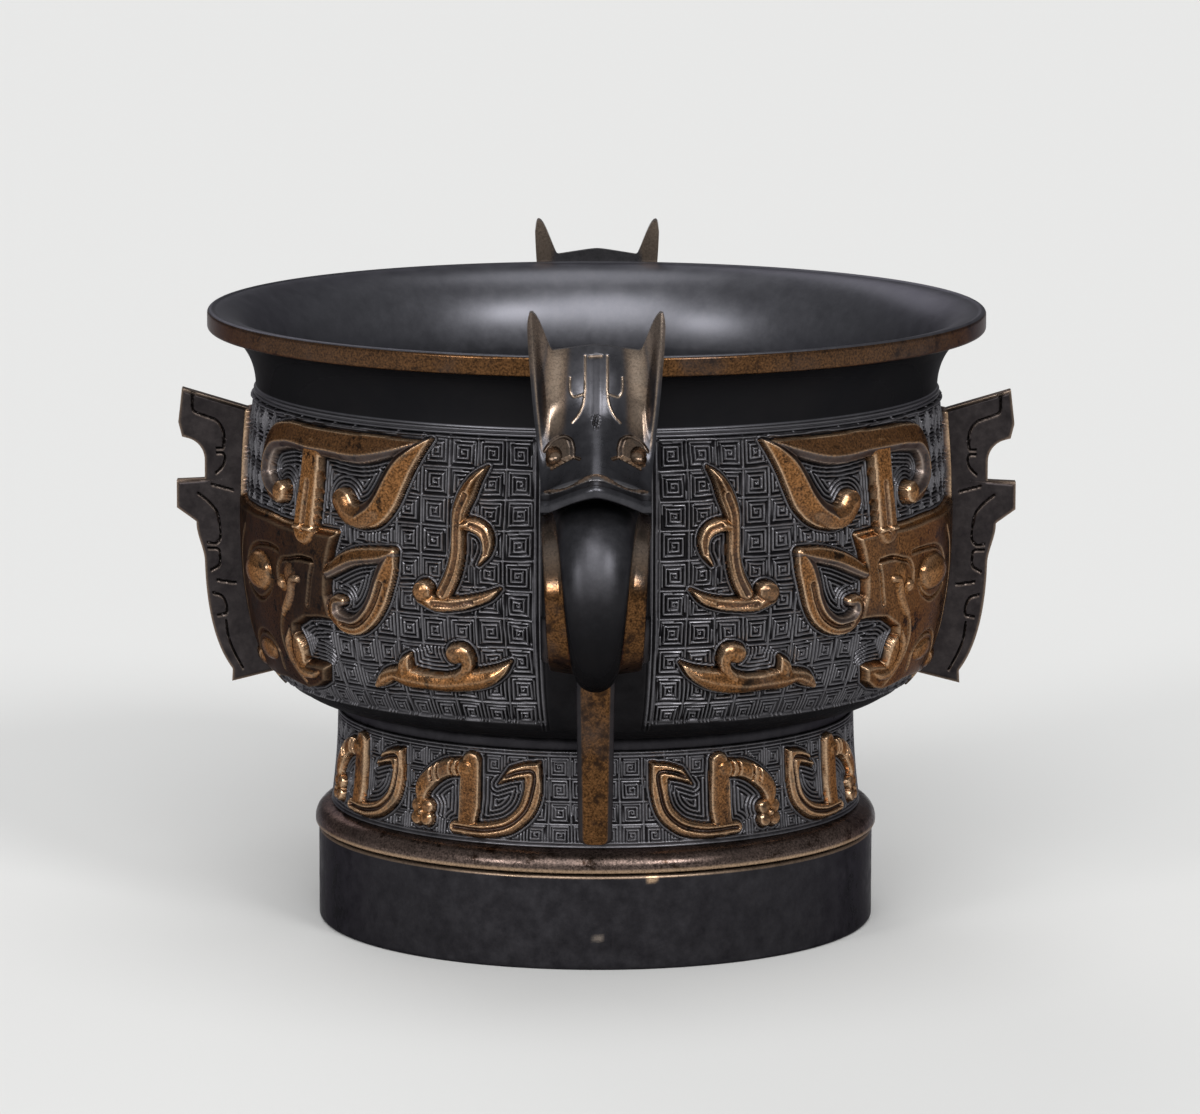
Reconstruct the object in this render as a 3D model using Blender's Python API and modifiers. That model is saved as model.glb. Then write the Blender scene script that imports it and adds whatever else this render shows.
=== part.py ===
"""A gui-form censer: a flared bronze bowl on a drum foot and plinth, with beast-head handles and flanges.

Metres, +Z up. The origin is on the axis of the bowl, on the surface that the plinth stands on. The handles
are at the front (-Y) and the rear (+Y), and the notched flanges at the left (-X) and the right (+X).
"""

import math

import bmesh
import bpy
from mathutils import Matrix, Vector

# Plinth: the plain ring that the censer stands on
PLINTH_RADIUS = 0.0574
PLINTH_HEIGHT = 0.0195
PLINTH_WALL = 0.0045
PLINTH_EDGE = 0.0006

# Foot: a drum with a half-round moulding round its base
FOOT_RADIUS = 0.0530
FOOT_HEIGHT = 0.0269
FOOT_WALL = 0.0032
FOOT_FLARE = 0.0014
FOOT_COLLAR = 0.0028
MOULDING_RADIUS = 0.0581
MOULDING_HEIGHT = 0.0046
MOULDING_TOP_TURN = 75
MOULDING_FOOT_TURN = -20
MOULDING_MIDDLE = 0.3

# Bowl: floor, belly, neck and lip
BOWL_HEIGHT = 0.0800
BOWL_WALL = 0.0034
BOWL_FLOOR = 0.0045
SEAT_RADIUS = 0.0545
BELLY_RADIUS = 0.0715
BELLY_HEIGHT = 0.0625
BELLY_PEAK = 0.0380
BELLY_FULLNESS = 2.45
NECK_RADIUS = 0.0701
RIM_RADIUS = 0.0800
LIP_HEIGHT = 0.0042
LIP_EDGE = 0.0009
LIP_ROUND = 0.0008

# Fits between the castings
SEAM = 0.0003
SPIGOT_DEPTH = 0.0030
SPIGOT_WALL = 0.0030

# Flanges, each standing in a grooved rib on the belly
FLANGE_THICKNESS = 0.0042
FLANGE_BODY = 0.0092
FLANGE_TAIL = 0.0109
FLANGE_HOOK = 0.0146
FLANGE_TOP = 0.0588
FLANGE_BOTTOM = 0.0045
FLANGE_TOP_SLOPE = 0.0042
FLANGE_BOTTOM_SLOPE = 0.0026
HOOK_HEIGHT = 0.0058
NOTCH_TOP = 0.0528
NOTCH_BOTTOM = 0.0440
NOTCH_ROUND = 0.0046
HOOK_FILLET = 0.0018
HOOK_LEAN = 0.0008
HOOK_POINT = 0.0032
HOOK_FILLET_DROP = 0.0029
HOOK_FILLET_RUN = 0.25
RIB_HEIGHT = 0.0018
RIB_HALF_WIDTH = 0.0041
TONGUE_DEPTH = 0.0012

# Handle heads, measured out from the lip and down from the rim
CROWN_RISE = 0.0027
CROWN_GABLE = 0.0019
CROWN_GABLE_RUN = 0.25
CROWN_DEPTH = 0.0020
CROWN_HALF_WIDTH = 0.0130
BROW_REACH = 0.0042
BROW_DROP = 0.0150
SNOUT_REACH = 0.0163
SNOUT_DROP = 0.0218
SNOUT_HALF_WIDTH = 0.0108
SNOUT_SWEEP = 0.0070
FACE_TAPER_RUN = 0.9
LIP_ARCH = 0.0050
LIP_ROLL = 0.0022
THROAT_INSET = 0.0026
THROAT_DEPTH = 0.0080
CHANNEL_SPREAD = 0.0090
CHANNEL_DEPTH = 0.0024
CHANNEL_START = 0.3
CHANNEL_OPEN_RUN = 0.4
CHANNEL_FADE_RUN = 0.7
EAR_RISE = 0.0090
EAR_DROP = 0.0150
EAR_ROOT_WIDTH = 0.0046
EAR_TIP_WIDTH = 0.0022
EAR_EDGE = 0.0011
EAR_FLARE = 0.0007
EAR_DEPTH = 0.0042
EAR_ROOT_DEPTH = 0.0022
EAR_DEPTH_RUN = 0.5
EAR_FLARE_RUN = 0.67
EAR_POINT = 0.7
EAR_CUP = ((0.62, 0.45), (1.0, 0.25))
EYE_RADIUS = 0.0017
EYE_SPREAD = 0.0077
EYE_DROP = 0.0192

# Handle loops, measured out from the belly: a wide strap with a half-round rib, and a tab hanging below
LOOP_RUN = 0.0085
LOOP_REACH = 0.0130
LOOP_TOP_DROP = 0.0360
LOOP_GAP_HEIGHT = 0.0210
STRAP_THICKNESS = 0.0042
STRAP_TOP_HALF_WIDTH = 0.0102
STRAP_FOOT_HALF_WIDTH = 0.0086
RIB_SWELL = 0.0038
RIB_TOP_HALF_WIDTH = 0.0074
RIB_FOOT_HALF_WIDTH = 0.0052
ROOT_FLARE = 0.0034
ROOT_LENGTH = 0.0050
TAB_LENGTH = 0.0348
TAB_THICKNESS = 0.0044
TAB_TOP_HALF_WIDTH = 0.0037
TAB_FOOT_HALF_WIDTH = 0.0033
TAB_CORNER = 0.0012

# Rivets that hold each handle through the wall of the bowl
RIVET_RADIUS = 0.0019
RIVET_HEAD_RADIUS = 0.0034
RIVET_HEAD_HEIGHT = 0.0012
RIVET_GRIP = 0.0070
UPPER_RIVET_DROP = 0.0215

# Relief on the belly, the same in each quarter. Bands are rows of degrees round from the handle, share of
# the height of the belly, half width and rise. The mask is an outline of degrees and shares.
RELIEF_ROOT = 0.0010
MASK_RISE = 0.0018
MASK_MARGIN = 0.0090
BELLY_BANDS = {
    "horn": [
        (27.9, 0.982, 0.0004, 0.0005),
        (30.2, 0.934, 0.0021, 0.0022),
        (33.0, 0.851, 0.0030, 0.0029),
        (36.1, 0.765, 0.0032, 0.0029),
        (39.8, 0.720, 0.0029, 0.0028),
        (43.4, 0.755, 0.0034, 0.0033),
    ],
    "horn_bar": [
        (30.2, 0.960, 0.0010, 0.0012),
        (36.6, 0.947, 0.0023, 0.0026),
        (58.9, 0.947, 0.0024, 0.0026),
        (64.1, 0.918, 0.0028, 0.0027),
        (65.9, 0.832, 0.0032, 0.0027),
        (64.1, 0.762, 0.0029, 0.0026),
        (60.3, 0.755, 0.0026, 0.0030),
    ],
    "horn_post": [(52.3, 0.928, 0.0036, 0.0022), (52.3, 0.643, 0.0036, 0.0022)],
    "ear": [
        (46.6, 0.565, 0.0021, 0.0020),
        (39.8, 0.608, 0.0023, 0.0020),
        (33.9, 0.618, 0.0020, 0.0018),
        (34.9, 0.528, 0.0024, 0.0020),
        (37.2, 0.422, 0.0025, 0.0020),
        (41.6, 0.365, 0.0023, 0.0020),
        (45.7, 0.394, 0.0020, 0.0018),
    ],
    "feather_stem": [
        (18.0, 0.904, 0.0003, 0.0004),
        (20.8, 0.816, 0.0017, 0.0022),
        (22.2, 0.672, 0.0018, 0.0024),
        (23.2, 0.565, 0.0018, 0.0024),
        (25.5, 0.483, 0.0019, 0.0024),
    ],
    "feather_base": [
        (15.5, 0.523, 0.0003, 0.0004),
        (19.9, 0.475, 0.0016, 0.0020),
        (25.5, 0.464, 0.0018, 0.0023),
        (28.3, 0.496, 0.0027, 0.0030),
    ],
    "feather_hook": [
        (22.1, 0.720, 0.0012, 0.0018),
        (18.6, 0.728, 0.0015, 0.0019),
        (17.0, 0.656, 0.0014, 0.0017),
        (18.9, 0.589, 0.0003, 0.0004),
    ],
    "dragon": [
        (14.6, 0.293, 0.0003, 0.0004),
        (18.7, 0.229, 0.0020, 0.0023),
        (24.7, 0.206, 0.0024, 0.0025),
        (32.6, 0.218, 0.0020, 0.0024),
        (37.0, 0.192, 0.0014, 0.0018),
    ],
    "dragon_crest": [(22.0, 0.232, 0.0013, 0.0018), (23.3, 0.314, 0.0025, 0.0028)],
}
MASK = [
    (45.4, 0.648),
    (87.7, 0.659),
    (87.7, 0.112),
    (65.3, 0.122),
    (58.1, 0.109),
    (53.3, 0.134),
    (50.3, 0.208),
    (56.5, 0.208),
    (57.9, 0.256),
    (57.3, 0.317),
    (53.8, 0.352),
    (46.4, 0.365),
    (47.5, 0.480),
    (46.6, 0.592),
]
EYE_BOSS = (68.0, 0.474, 0.0060, 0.0042, 0.0038)
BOSS_RINGS = ((1.0, -0.4), (0.95, 0.45), (0.62, 0.85), (0.15, 1.0))
BOSS_POINTS = 10

# Relief on the foot: two dragons in each quarter, as bands over the height of the drum's wall
FOOT_BANDS = {
    "foot_dragon": [
        (20.8, 0.700, 0.0005, 0.0006),
        (15.0, 0.790, 0.0017, 0.0016),
        (13.9, 0.600, 0.0020, 0.0017),
        (14.6, 0.380, 0.0021, 0.0017),
        (18.7, 0.200, 0.0020, 0.0017),
        (31.1, 0.144, 0.0017, 0.0016),
    ],
    "foot_crest": [
        (28.1, 0.185, 0.0025, 0.0017),
        (27.8, 0.708, 0.0025, 0.0018),
        (33.7, 0.738, 0.0022, 0.0019),
        (39.2, 0.523, 0.0020, 0.0019),
        (39.6, 0.267, 0.0034, 0.0021),
    ],
}
FOOT_DRAGON_TURN = 34.0

# Smoothness
SLOPE_SHARE = 0.01
NOTCH_POINTS = 5
CORNER_POINTS = 4
EYE_SEGMENTS = 12
EYE_RINGS = 8
EYE_SEARCH_LEVELS = 40
RIB_TURNS = (150, 120, 90, 60, 30)
TURN_STEPS = 48
CURVE_POINTS = 9
COVE_POINTS = 6
FLARE_POINTS = 6
UPPER_BELLY_POINTS = 4
LOOP_STATIONS = 16
HEAD_LEVELS = 12
HEAD_POINTS = 15
EAR_LEVELS = 6
RIVET_STEPS = 12
BORE_STEPS = 20
SHARP_ANGLE = 35
CUTTER_OVERSHOOT = 0.0100

# Heights worked out from the stack of castings
FOOT_BASE = PLINTH_HEIGHT + SEAM
FOOT_TOP = FOOT_BASE + FOOT_HEIGHT
BOWL_BASE = FOOT_TOP + SEAM
RIM_TOP = BOWL_BASE + BOWL_HEIGHT

# Radii worked out from the fits
PLINTH_BORE = PLINTH_RADIUS - PLINTH_WALL
FOOT_BORE = FOOT_RADIUS - FOOT_WALL
RIVET_BORE = RIVET_RADIUS + SEAM

# Finishes: name, colour, roughness, metallic
FINISHES = {
    "dark_bronze": ((0.030, 0.030, 0.034), 0.42, 0.85),
    "brown_bronze": ((0.085, 0.058, 0.040), 0.45, 0.85),
    "rivet_bronze": ((0.050, 0.045, 0.042), 0.50, 0.85),
}


# Scene and helpers


def clear_scene():
    for obj in list(bpy.data.objects):
        bpy.data.objects.remove(obj, do_unlink=True)


def new_collection(name):
    collection = bpy.data.collections.new(name)
    bpy.context.scene.collection.children.link(collection)
    return collection


def finish_material(owner, finish):
    colour, roughness, metallic = FINISHES[finish]
    made = bpy.data.materials.new(f"{owner}_{finish}")
    made.use_nodes = True
    shader = made.node_tree.nodes["Principled BSDF"]
    shader.inputs["Base Color"].default_value = (*colour, 1.0)
    shader.inputs["Roughness"].default_value = roughness
    shader.inputs["Metallic"].default_value = metallic
    return made


def place(name, mesh, collection):
    obj = bpy.data.objects.new(name, mesh)
    collection.objects.link(obj)
    return obj


def as_cutter(obj):
    obj.hide_render = True
    obj.display_type = "WIRE"
    return obj


def turned(name, profile, collection, closed=False):
    """A solid of revolution about Z, from a (radius, height) profile that goes up inside and down outside."""
    points = [(radius, 0.0, height) for radius, height in profile]
    edges = [(i, i + 1) for i in range(len(points) - 1)]
    if closed:
        edges.append((len(points) - 1, 0))
    mesh = bpy.data.meshes.new(name)
    mesh.from_pydata(points, edges, [])
    obj = place(name, mesh, collection)
    screw = obj.modifiers.new("Turn", "SCREW")
    screw.axis = "Z"
    screw.angle = 2 * math.pi
    screw.steps = TURN_STEPS
    screw.render_steps = TURN_STEPS
    screw.use_merge_vertices = True
    screw.merge_threshold = 0.00001
    screw.use_smooth_shade = True
    return obj


def combine(obj, other, operation):
    step = obj.modifiers.new(f"{operation.title()} {other.name}", "BOOLEAN")
    step.operation = operation
    step.object = other


def baked(obj):
    """Replaces the object's mesh with its evaluated mesh, and drops the modifiers that made it."""
    bpy.context.view_layer.update()
    graph = bpy.context.evaluated_depsgraph_get()
    mesh = bpy.data.meshes.new_from_object(obj.evaluated_get(graph))
    weld = bmesh.new()
    weld.from_mesh(mesh)
    bmesh.ops.remove_doubles(weld, verts=weld.verts, dist=0.000002)
    weld.to_mesh(mesh)
    weld.free()
    obj.modifiers.clear()
    obj.data = mesh
    return obj


def lofted(name, sections, collection):
    """A closed skin over rings of points, each ring with the same number of points, capped at both ends."""
    skin = bmesh.new()
    rings = [[skin.verts.new(point) for point in section] for section in sections]
    for lower, upper in zip(rings, rings[1:]):
        for i, point in enumerate(lower):
            j = (i + 1) % len(lower)
            skin.faces.new((point, lower[j], upper[j], upper[i]))
    skin.faces.new(list(reversed(rings[0])))
    skin.faces.new(rings[-1])
    bmesh.ops.recalc_face_normals(skin, faces=skin.faces)
    bmesh.ops.triangulate(skin, faces=[face for face in skin.faces if len(face.verts) > 4])
    mesh = bpy.data.meshes.new(name)
    skin.to_mesh(mesh)
    skin.free()
    return place(name, mesh, collection)


def plate(name, outline, thickness, collection):
    """A flat plate in the XZ plane, from an outline of (x, z) points, centred on Y = 0."""
    curve = bpy.data.curves.new(name, "CURVE")
    curve.dimensions = "2D"
    curve.fill_mode = "BOTH"
    curve.extrude = thickness / 2
    spline = curve.splines.new("POLY")
    spline.points.add(len(outline) - 1)
    for point, (x, z) in zip(spline.points, outline):
        point.co = (x, z, 0.0, 1.0)
    spline.use_cyclic_u = True
    drawn = place(f"{name}_outline", curve, collection)
    drawn.matrix_world = Matrix.Rotation(math.pi / 2, 4, "X")
    bpy.context.view_layer.update()
    graph = bpy.context.evaluated_depsgraph_get()
    mesh = bpy.data.meshes.new_from_object(drawn.evaluated_get(graph))
    mesh.transform(drawn.matrix_world)
    bpy.data.objects.remove(drawn)
    weld = bmesh.new()
    weld.from_mesh(mesh)
    bmesh.ops.remove_doubles(weld, verts=weld.verts, dist=0.000002)
    bmesh.ops.recalc_face_normals(weld, faces=weld.faces)
    weld.to_mesh(mesh)
    weld.free()
    return place(name, mesh, collection)


def shade(obj, finish):
    """Smooth shading with sharp edges, and a material of the object's own in a finish."""
    obj.data.materials.clear()
    obj.data.materials.append(finish_material(obj.name, finish))
    obj.data.shade_smooth()
    obj.data.set_sharp_from_angle(angle=math.radians(SHARP_ANGLE))


def steps(count):
    return [i / (count - 1) for i in range(count)]


def mix(start, end, share):
    return start + (end - start) * share


def ease(share):
    """A smooth step from 0 to 1."""
    share = min(max(share, 0.0), 1.0)
    return share * share * (3 - 2 * share)


# Profiles


def belly_radius(height):
    """Outer radius of the belly at a height above its base: full below the widest point, slow above it."""
    if height >= BELLY_PEAK:
        rise = (height - BELLY_PEAK) / (BELLY_HEIGHT - BELLY_PEAK)
        return BELLY_RADIUS - (BELLY_RADIUS - NECK_RADIUS) * rise**2
    drop = min(max((BELLY_PEAK - height) / BELLY_PEAK, 0.0), 1.0)
    width = (1 - drop**BELLY_FULLNESS) ** (1 / BELLY_FULLNESS)
    return mix(SEAT_RADIUS, BELLY_RADIUS, width)


def inner_radius(height):
    """Radius of the hollow of the bowl at a height above its base, up to the joint with the neck."""
    if height >= BELLY_PEAK:
        return belly_radius(height) - BOWL_WALL
    drop = min(max((BELLY_PEAK - height) / (BELLY_PEAK - BOWL_FLOOR), 0.0), 1.0)
    width = (1 - drop**BELLY_FULLNESS) ** (1 / BELLY_FULLNESS)
    return mix(SEAT_RADIUS - BOWL_WALL, BELLY_RADIUS - BOWL_WALL, width)


def full_curve(seat, peak, base):
    """Points of the lower belly from its widest point down to its seat, closer together where it bends."""
    points = []
    for share in steps(CURVE_POINTS):
        turn = share * math.pi / 2
        across = math.cos(turn) ** (2 / BELLY_FULLNESS)
        down = math.sin(turn) ** (2 / BELLY_FULLNESS)
        points.append((mix(seat, peak, across), mix(BELLY_PEAK, base, down)))
    return points


def upper_belly(inset):
    """Points of the upper belly from the neck joint down to the widest point, which is left out."""
    heights = [mix(BELLY_HEIGHT, BELLY_PEAK, share) for share in steps(UPPER_BELLY_POINTS)[:-1]]
    return [(belly_radius(height) - inset, height) for height in heights]


def cove(foot, top, count):
    """Points of a quarter-round hollow, upright at its foot and flat at its top, top first."""
    points = []
    for share in steps(count):
        turn = (1 - share) * math.pi / 2
        radius = mix(foot[0], top[0], 1 - math.cos(turn))
        points.append((radius, mix(foot[1], top[1], math.sin(turn))))
    return points


def bowl_outside(gap=0.0):
    """(radius, height) from the lip down to the seat, with a gap all round where a neighbour needs one."""
    under_lip = BOWL_HEIGHT - LIP_HEIGHT
    neck = cove((NECK_RADIUS, BELLY_HEIGHT), (RIM_RADIUS - LIP_ROUND, under_lip), COVE_POINTS)
    lip = [(RIM_RADIUS, BOWL_HEIGHT), (RIM_RADIUS, under_lip + LIP_ROUND)]
    belly = upper_belly(0.0)[1:] + full_curve(SEAT_RADIUS, BELLY_RADIUS, 0.0)
    return [(radius + gap, BOWL_BASE + height) for radius, height in lip + neck + belly]


def bowl_inside():
    """(radius, height) from the floor on the axis up to the lip."""
    foot = (belly_radius(BELLY_HEIGHT) - BOWL_WALL, BELLY_HEIGHT)
    flare = cove(foot, (RIM_RADIUS - LIP_EDGE, BOWL_HEIGHT), FLARE_POINTS)
    hollow = full_curve(SEAT_RADIUS - BOWL_WALL, BELLY_RADIUS - BOWL_WALL, BOWL_FLOOR)
    down = flare + upper_belly(BOWL_WALL)[1:] + hollow + [(0.0, BOWL_FLOOR)]
    return [(radius, BOWL_BASE + height) for radius, height in reversed(down)]


# Relief


def on_turned(turn, radius, height, lean):
    """Point and outward direction on a turned surface, at a turn in degrees from the front."""
    angle = math.radians(turn)
    across = Vector((math.sin(angle), -math.cos(angle), 0.0))
    normal = (across - Vector((0.0, 0.0, lean))).normalized()
    return across * radius + Vector((0.0, 0.0, height)), normal


def on_belly(turn, share):
    """Point and outward direction on the belly at a turn and a share of its height."""
    level = share * BELLY_HEIGHT
    step = BELLY_HEIGHT * SLOPE_SHARE
    lean = (belly_radius(level + step) - belly_radius(level - step)) / (2 * step)
    return on_turned(turn, belly_radius(level), BOWL_BASE + level, lean)


def on_foot(turn, share):
    """Point and outward direction on the wall of the foot at a turn and a share of its height."""
    height = mix(FOOT_BASE + MOULDING_HEIGHT, FOOT_TOP - FOOT_COLLAR, share)
    return on_turned(turn, FOOT_RADIUS + FOOT_FLARE * (1 - share) ** 2, height, 0.0)


def raised_band(name, stations, surface, turn, cutters):
    """A ridged band along stations on a turned surface, its root sunk below the surface."""
    spots = [surface(degrees + turn, share) for degrees, share, half, rise in stations]
    rings = []
    for i, (degrees, share, half, rise) in enumerate(stations):
        point, normal = spots[i]
        along = spots[min(i + 1, len(spots) - 1)][0] - spots[max(i - 1, 0)][0]
        aside = normal.cross(along).normalized() * half
        root = point - normal * RELIEF_ROOT
        rings.append([root - aside, point + normal * rise, root + aside])
    return lofted(name, rings, cutters)


def boss(name, surface, cutters):
    """A domed oval boss on a turned surface."""
    turn, share, half_across, half_up, rise = EYE_BOSS
    point, normal = surface(turn, share)
    aside = Vector((0.0, 0.0, 1.0)).cross(normal).normalized()
    up = normal.cross(aside)
    rings = []
    for size, lift in BOSS_RINGS:
        ring = []
        for i in range(BOSS_POINTS):
            angle = 2 * math.pi * i / BOSS_POINTS
            spread = aside * (half_across * math.cos(angle)) + up * (half_up * math.sin(angle))
            ring.append(point + spread * size + normal * (rise * lift))
        rings.append(ring)
    return lofted(name, rings, cutters)


def mask(cutters):
    """The raised face beside a flange: the piece of a thicker belly inside the outline of the mask."""
    shares = [share for turn, share in MASK]
    levels = [mix(max(shares), min(shares), step) * BELLY_HEIGHT for step in steps(CURVE_POINTS)]
    outer = [(belly_radius(level) + MASK_RISE, BOWL_BASE + level) for level in levels]
    inner = [(belly_radius(level) - RELIEF_ROOT, BOWL_BASE + level) for level in reversed(levels)]
    made = turned("mask_shell", outer + inner, cutters, closed=True)
    rings = []
    for reach in (SEAT_RADIUS - MASK_MARGIN, BELLY_RADIUS + MASK_MARGIN):
        spots = [on_turned(turn, reach, BOWL_BASE + share * BELLY_HEIGHT, 0.0) for turn, share in MASK]
        rings.append([point for point, normal in spots])
    combine(made, as_cutter(lofted("mask_outline", rings, cutters)), "INTERSECT")
    return baked(made)


def in_quarters(made, cutters):
    """The piece and its mirror images in the other three quarters."""
    pieces = [as_cutter(made)]
    for across, along in ((-1, 1), (1, -1), (-1, -1)):
        mesh = made.data.copy()
        mesh.transform(Matrix.Diagonal((across, along, 1.0, 1.0)))
        if across * along < 0:
            mesh.flip_normals()
        pieces.append(as_cutter(place(f"{made.name}_mirror", mesh, cutters)))
    return pieces


def belly_relief(cutters):
    made = [mask(cutters), boss("eye_boss", on_belly, cutters)]
    made += [raised_band(name, rows, on_belly, 0.0, cutters) for name, rows in BELLY_BANDS.items()]
    return [piece for form in made for piece in in_quarters(form, cutters)]


def foot_relief(cutters):
    made = []
    for name, rows in FOOT_BANDS.items():
        for turn in (0.0, FOOT_DRAGON_TURN):
            made.append(raised_band(name, rows, on_foot, turn, cutters))
    return [piece for form in made for piece in in_quarters(form, cutters)]


# Castings


def bowl(collection, cutters):
    spigot_radius = FOOT_BORE - SEAM
    spigot_foot = BOWL_BASE - SPIGOT_DEPTH
    underside = [
        (spigot_radius, BOWL_BASE),
        (spigot_radius, spigot_foot),
        (spigot_radius - SPIGOT_WALL, spigot_foot),
        (spigot_radius - SPIGOT_WALL, BOWL_BASE),
        (0.0, BOWL_BASE),
    ]
    made = turned("bowl", bowl_inside() + bowl_outside() + underside, collection)
    for side in (-1, 1):
        combine(made, flange_rib(side, cutters), "UNION")
    for piece in belly_relief(cutters):
        combine(made, piece, "UNION")
    return made


def flange_rib(side, cutters):
    """The upright rib on the belly that carries a flange: a slice of a belly that stands RIB_HEIGHT proud."""
    name = "left" if side < 0 else "right"
    low, high = flange_span()
    levels = [mix(high, low, share) for share in steps(CURVE_POINTS)]
    outer = [(belly_radius(level) + RIB_HEIGHT, BOWL_BASE + level) for level in levels]
    inner = [(belly_radius(level) - BOWL_WALL / 2, BOWL_BASE + level) for level in levels]
    outline = [(side * x, z) for x, z in outer + inner[::-1]]
    return as_cutter(plate(f"{name}_rib", outline, 2 * RIB_HALF_WIDTH, cutters))


def foot(collection, cutters):
    band_top = FOOT_TOP - FOOT_COLLAR
    moulding_top = FOOT_BASE + MOULDING_HEIGHT
    outside = [(FOOT_RADIUS, FOOT_TOP)]
    for share in steps(COVE_POINTS):
        height = mix(band_top, moulding_top, share)
        outside.append((FOOT_RADIUS + FOOT_FLARE * share**2, height))
    shoulder = FOOT_RADIUS + FOOT_FLARE
    for share in steps(FLARE_POINTS)[1:]:
        turn = math.radians(mix(MOULDING_TOP_TURN, MOULDING_FOOT_TURN, share))
        radius = mix(shoulder, MOULDING_RADIUS, math.cos(turn))
        rise = mix(MOULDING_MIDDLE, 1.0, math.sin(turn))
        outside.append((radius, FOOT_BASE + MOULDING_HEIGHT * rise))
    spigot_radius = PLINTH_BORE - SEAM
    spigot_foot = FOOT_BASE - SPIGOT_DEPTH
    outside += [(spigot_radius, FOOT_BASE), (spigot_radius, spigot_foot)]
    inside = [(spigot_radius - FOOT_WALL, spigot_foot), (FOOT_BORE, band_top), (FOOT_BORE, FOOT_TOP)]
    made = turned("foot_drum", outside + inside, collection, closed=True)
    for piece in foot_relief(cutters):
        combine(made, piece, "UNION")
    return made


def plinth(collection):
    outside = [
        (PLINTH_RADIUS - PLINTH_EDGE, PLINTH_HEIGHT),
        (PLINTH_RADIUS, PLINTH_HEIGHT - PLINTH_EDGE),
        (PLINTH_RADIUS, PLINTH_EDGE),
        (PLINTH_RADIUS - PLINTH_EDGE, 0.0),
    ]
    inside = [(PLINTH_BORE, 0.0), (PLINTH_BORE, PLINTH_HEIGHT)]
    return turned("plinth_ring", outside + inside, collection, closed=True)


# Flanges


def flange_span():
    """Lowest and highest level of a flange where it meets its rib, above the base of the bowl."""
    return FLANGE_BOTTOM, FLANGE_TOP


def flange_outline(inset):
    """(x, z) outline of the right flange: two hooks with a notch between, on a body along the belly."""
    low, high = flange_span()

    def at(level, out):
        return (belly_radius(level) + RIB_HEIGHT + out, BOWL_BASE + level)

    hook_x = BELLY_RADIUS + FLANGE_HOOK
    body_x = BELLY_RADIUS + FLANGE_BODY
    top_hook = [
        (hook_x - HOOK_LEAN, BOWL_BASE + high + FLANGE_TOP_SLOPE),
        (hook_x, BOWL_BASE + NOTCH_TOP + HOOK_POINT),
    ]
    hollow = []
    for share in steps(NOTCH_POINTS):
        turn = mix(math.pi / 2, math.pi, share)
        x = body_x + NOTCH_ROUND * (1 + math.cos(turn))
        hollow.append((x, BOWL_BASE + NOTCH_TOP - NOTCH_ROUND * (1 - math.sin(turn))))
    low_hook = [
        (body_x, BOWL_BASE + NOTCH_BOTTOM),
        (hook_x + HOOK_LEAN / 2, BOWL_BASE + NOTCH_BOTTOM),
        (hook_x + HOOK_LEAN / 2, BOWL_BASE + NOTCH_BOTTOM - HOOK_HEIGHT),
    ]
    back = []
    tail = low - FLANGE_BOTTOM_SLOPE
    for share in steps(CURVE_POINTS):
        level = mix(NOTCH_BOTTOM - HOOK_HEIGHT - HOOK_FILLET_DROP, tail, share)
        swell = HOOK_FILLET * (1 - ease(share / HOOK_FILLET_RUN))
        out = mix(FLANGE_BODY, FLANGE_TAIL, share) + swell
        back.append((belly_radius(max(level, low)) + out, BOWL_BASE + level))
    root = [at(mix(low, high, share), -inset) for share in steps(CURVE_POINTS)]
    return top_hook + hollow + low_hook + back + root


def flange(side, collection, cutters, bowl_casting):
    """A notched flange whose tongue stands in a groove cut along its rib."""
    name = "left" if side < 0 else "right"
    outline = [(side * x, z) for x, z in flange_outline(TONGUE_DEPTH)]
    made = plate(f"{name}_flange", outline, FLANGE_THICKNESS, collection)
    groove = [(side * x, z) for x, z in flange_outline(TONGUE_DEPTH + SEAM)]
    cutter = plate(f"{name}_groove", groove, FLANGE_THICKNESS + 2 * SEAM, cutters)
    combine(bowl_casting, as_cutter(cutter), "DIFFERENCE")
    return made


# Handles


def head_line(share):
    """Reach and height of the middle of the face, from the crown (0) over the brow to the upper lip (1)."""
    crown = Vector((RIM_RADIUS + SEAM + CROWN_DEPTH, RIM_TOP + CROWN_RISE))
    brow = Vector((RIM_RADIUS + BROW_REACH, RIM_TOP - BROW_DROP))
    snout = Vector((RIM_RADIUS + SNOUT_REACH, RIM_TOP - SNOUT_DROP))
    return crown * (1 - share) ** 2 + brow * 2 * share * (1 - share) + snout * share**2


def head_section(share):
    """A ring of points across the head: a ridged face with a channel each side, and long sides behind it."""
    reach, height = head_line(share)
    half = mix(CROWN_HALF_WIDTH, SNOUT_HALF_WIDTH, ease(share / FACE_TAPER_RUN))
    opened = mix(CHANNEL_START, 1.0, ease(share / CHANNEL_OPEN_RUN))
    channel = CHANNEL_DEPTH * opened * ease((1 - share) / CHANNEL_FADE_RUN)
    sweep = SNOUT_SWEEP * ease(share)
    arch = LIP_ARCH * ease(share)
    gable = CROWN_GABLE * (1 - ease(share / CROWN_GABLE_RUN))
    face = []
    for across in [step * 2 - 1 for step in steps(HEAD_POINTS)]:
        x = across * half
        dip = channel * math.sin(min(abs(x) / CHANNEL_SPREAD, 1.0) * math.pi / 2) ** 2
        edge = channel * ease((abs(x) - CHANNEL_SPREAD) / (half - CHANNEL_SPREAD))
        drop = arch * across**2 + gable * abs(across)
        face.append((x, -(reach - dip + edge - sweep * across**2), height - drop))
    corner = height - arch - gable
    back = [(half, -head_back(), corner), (-half, -head_back(), corner)]
    return face + back


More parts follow.
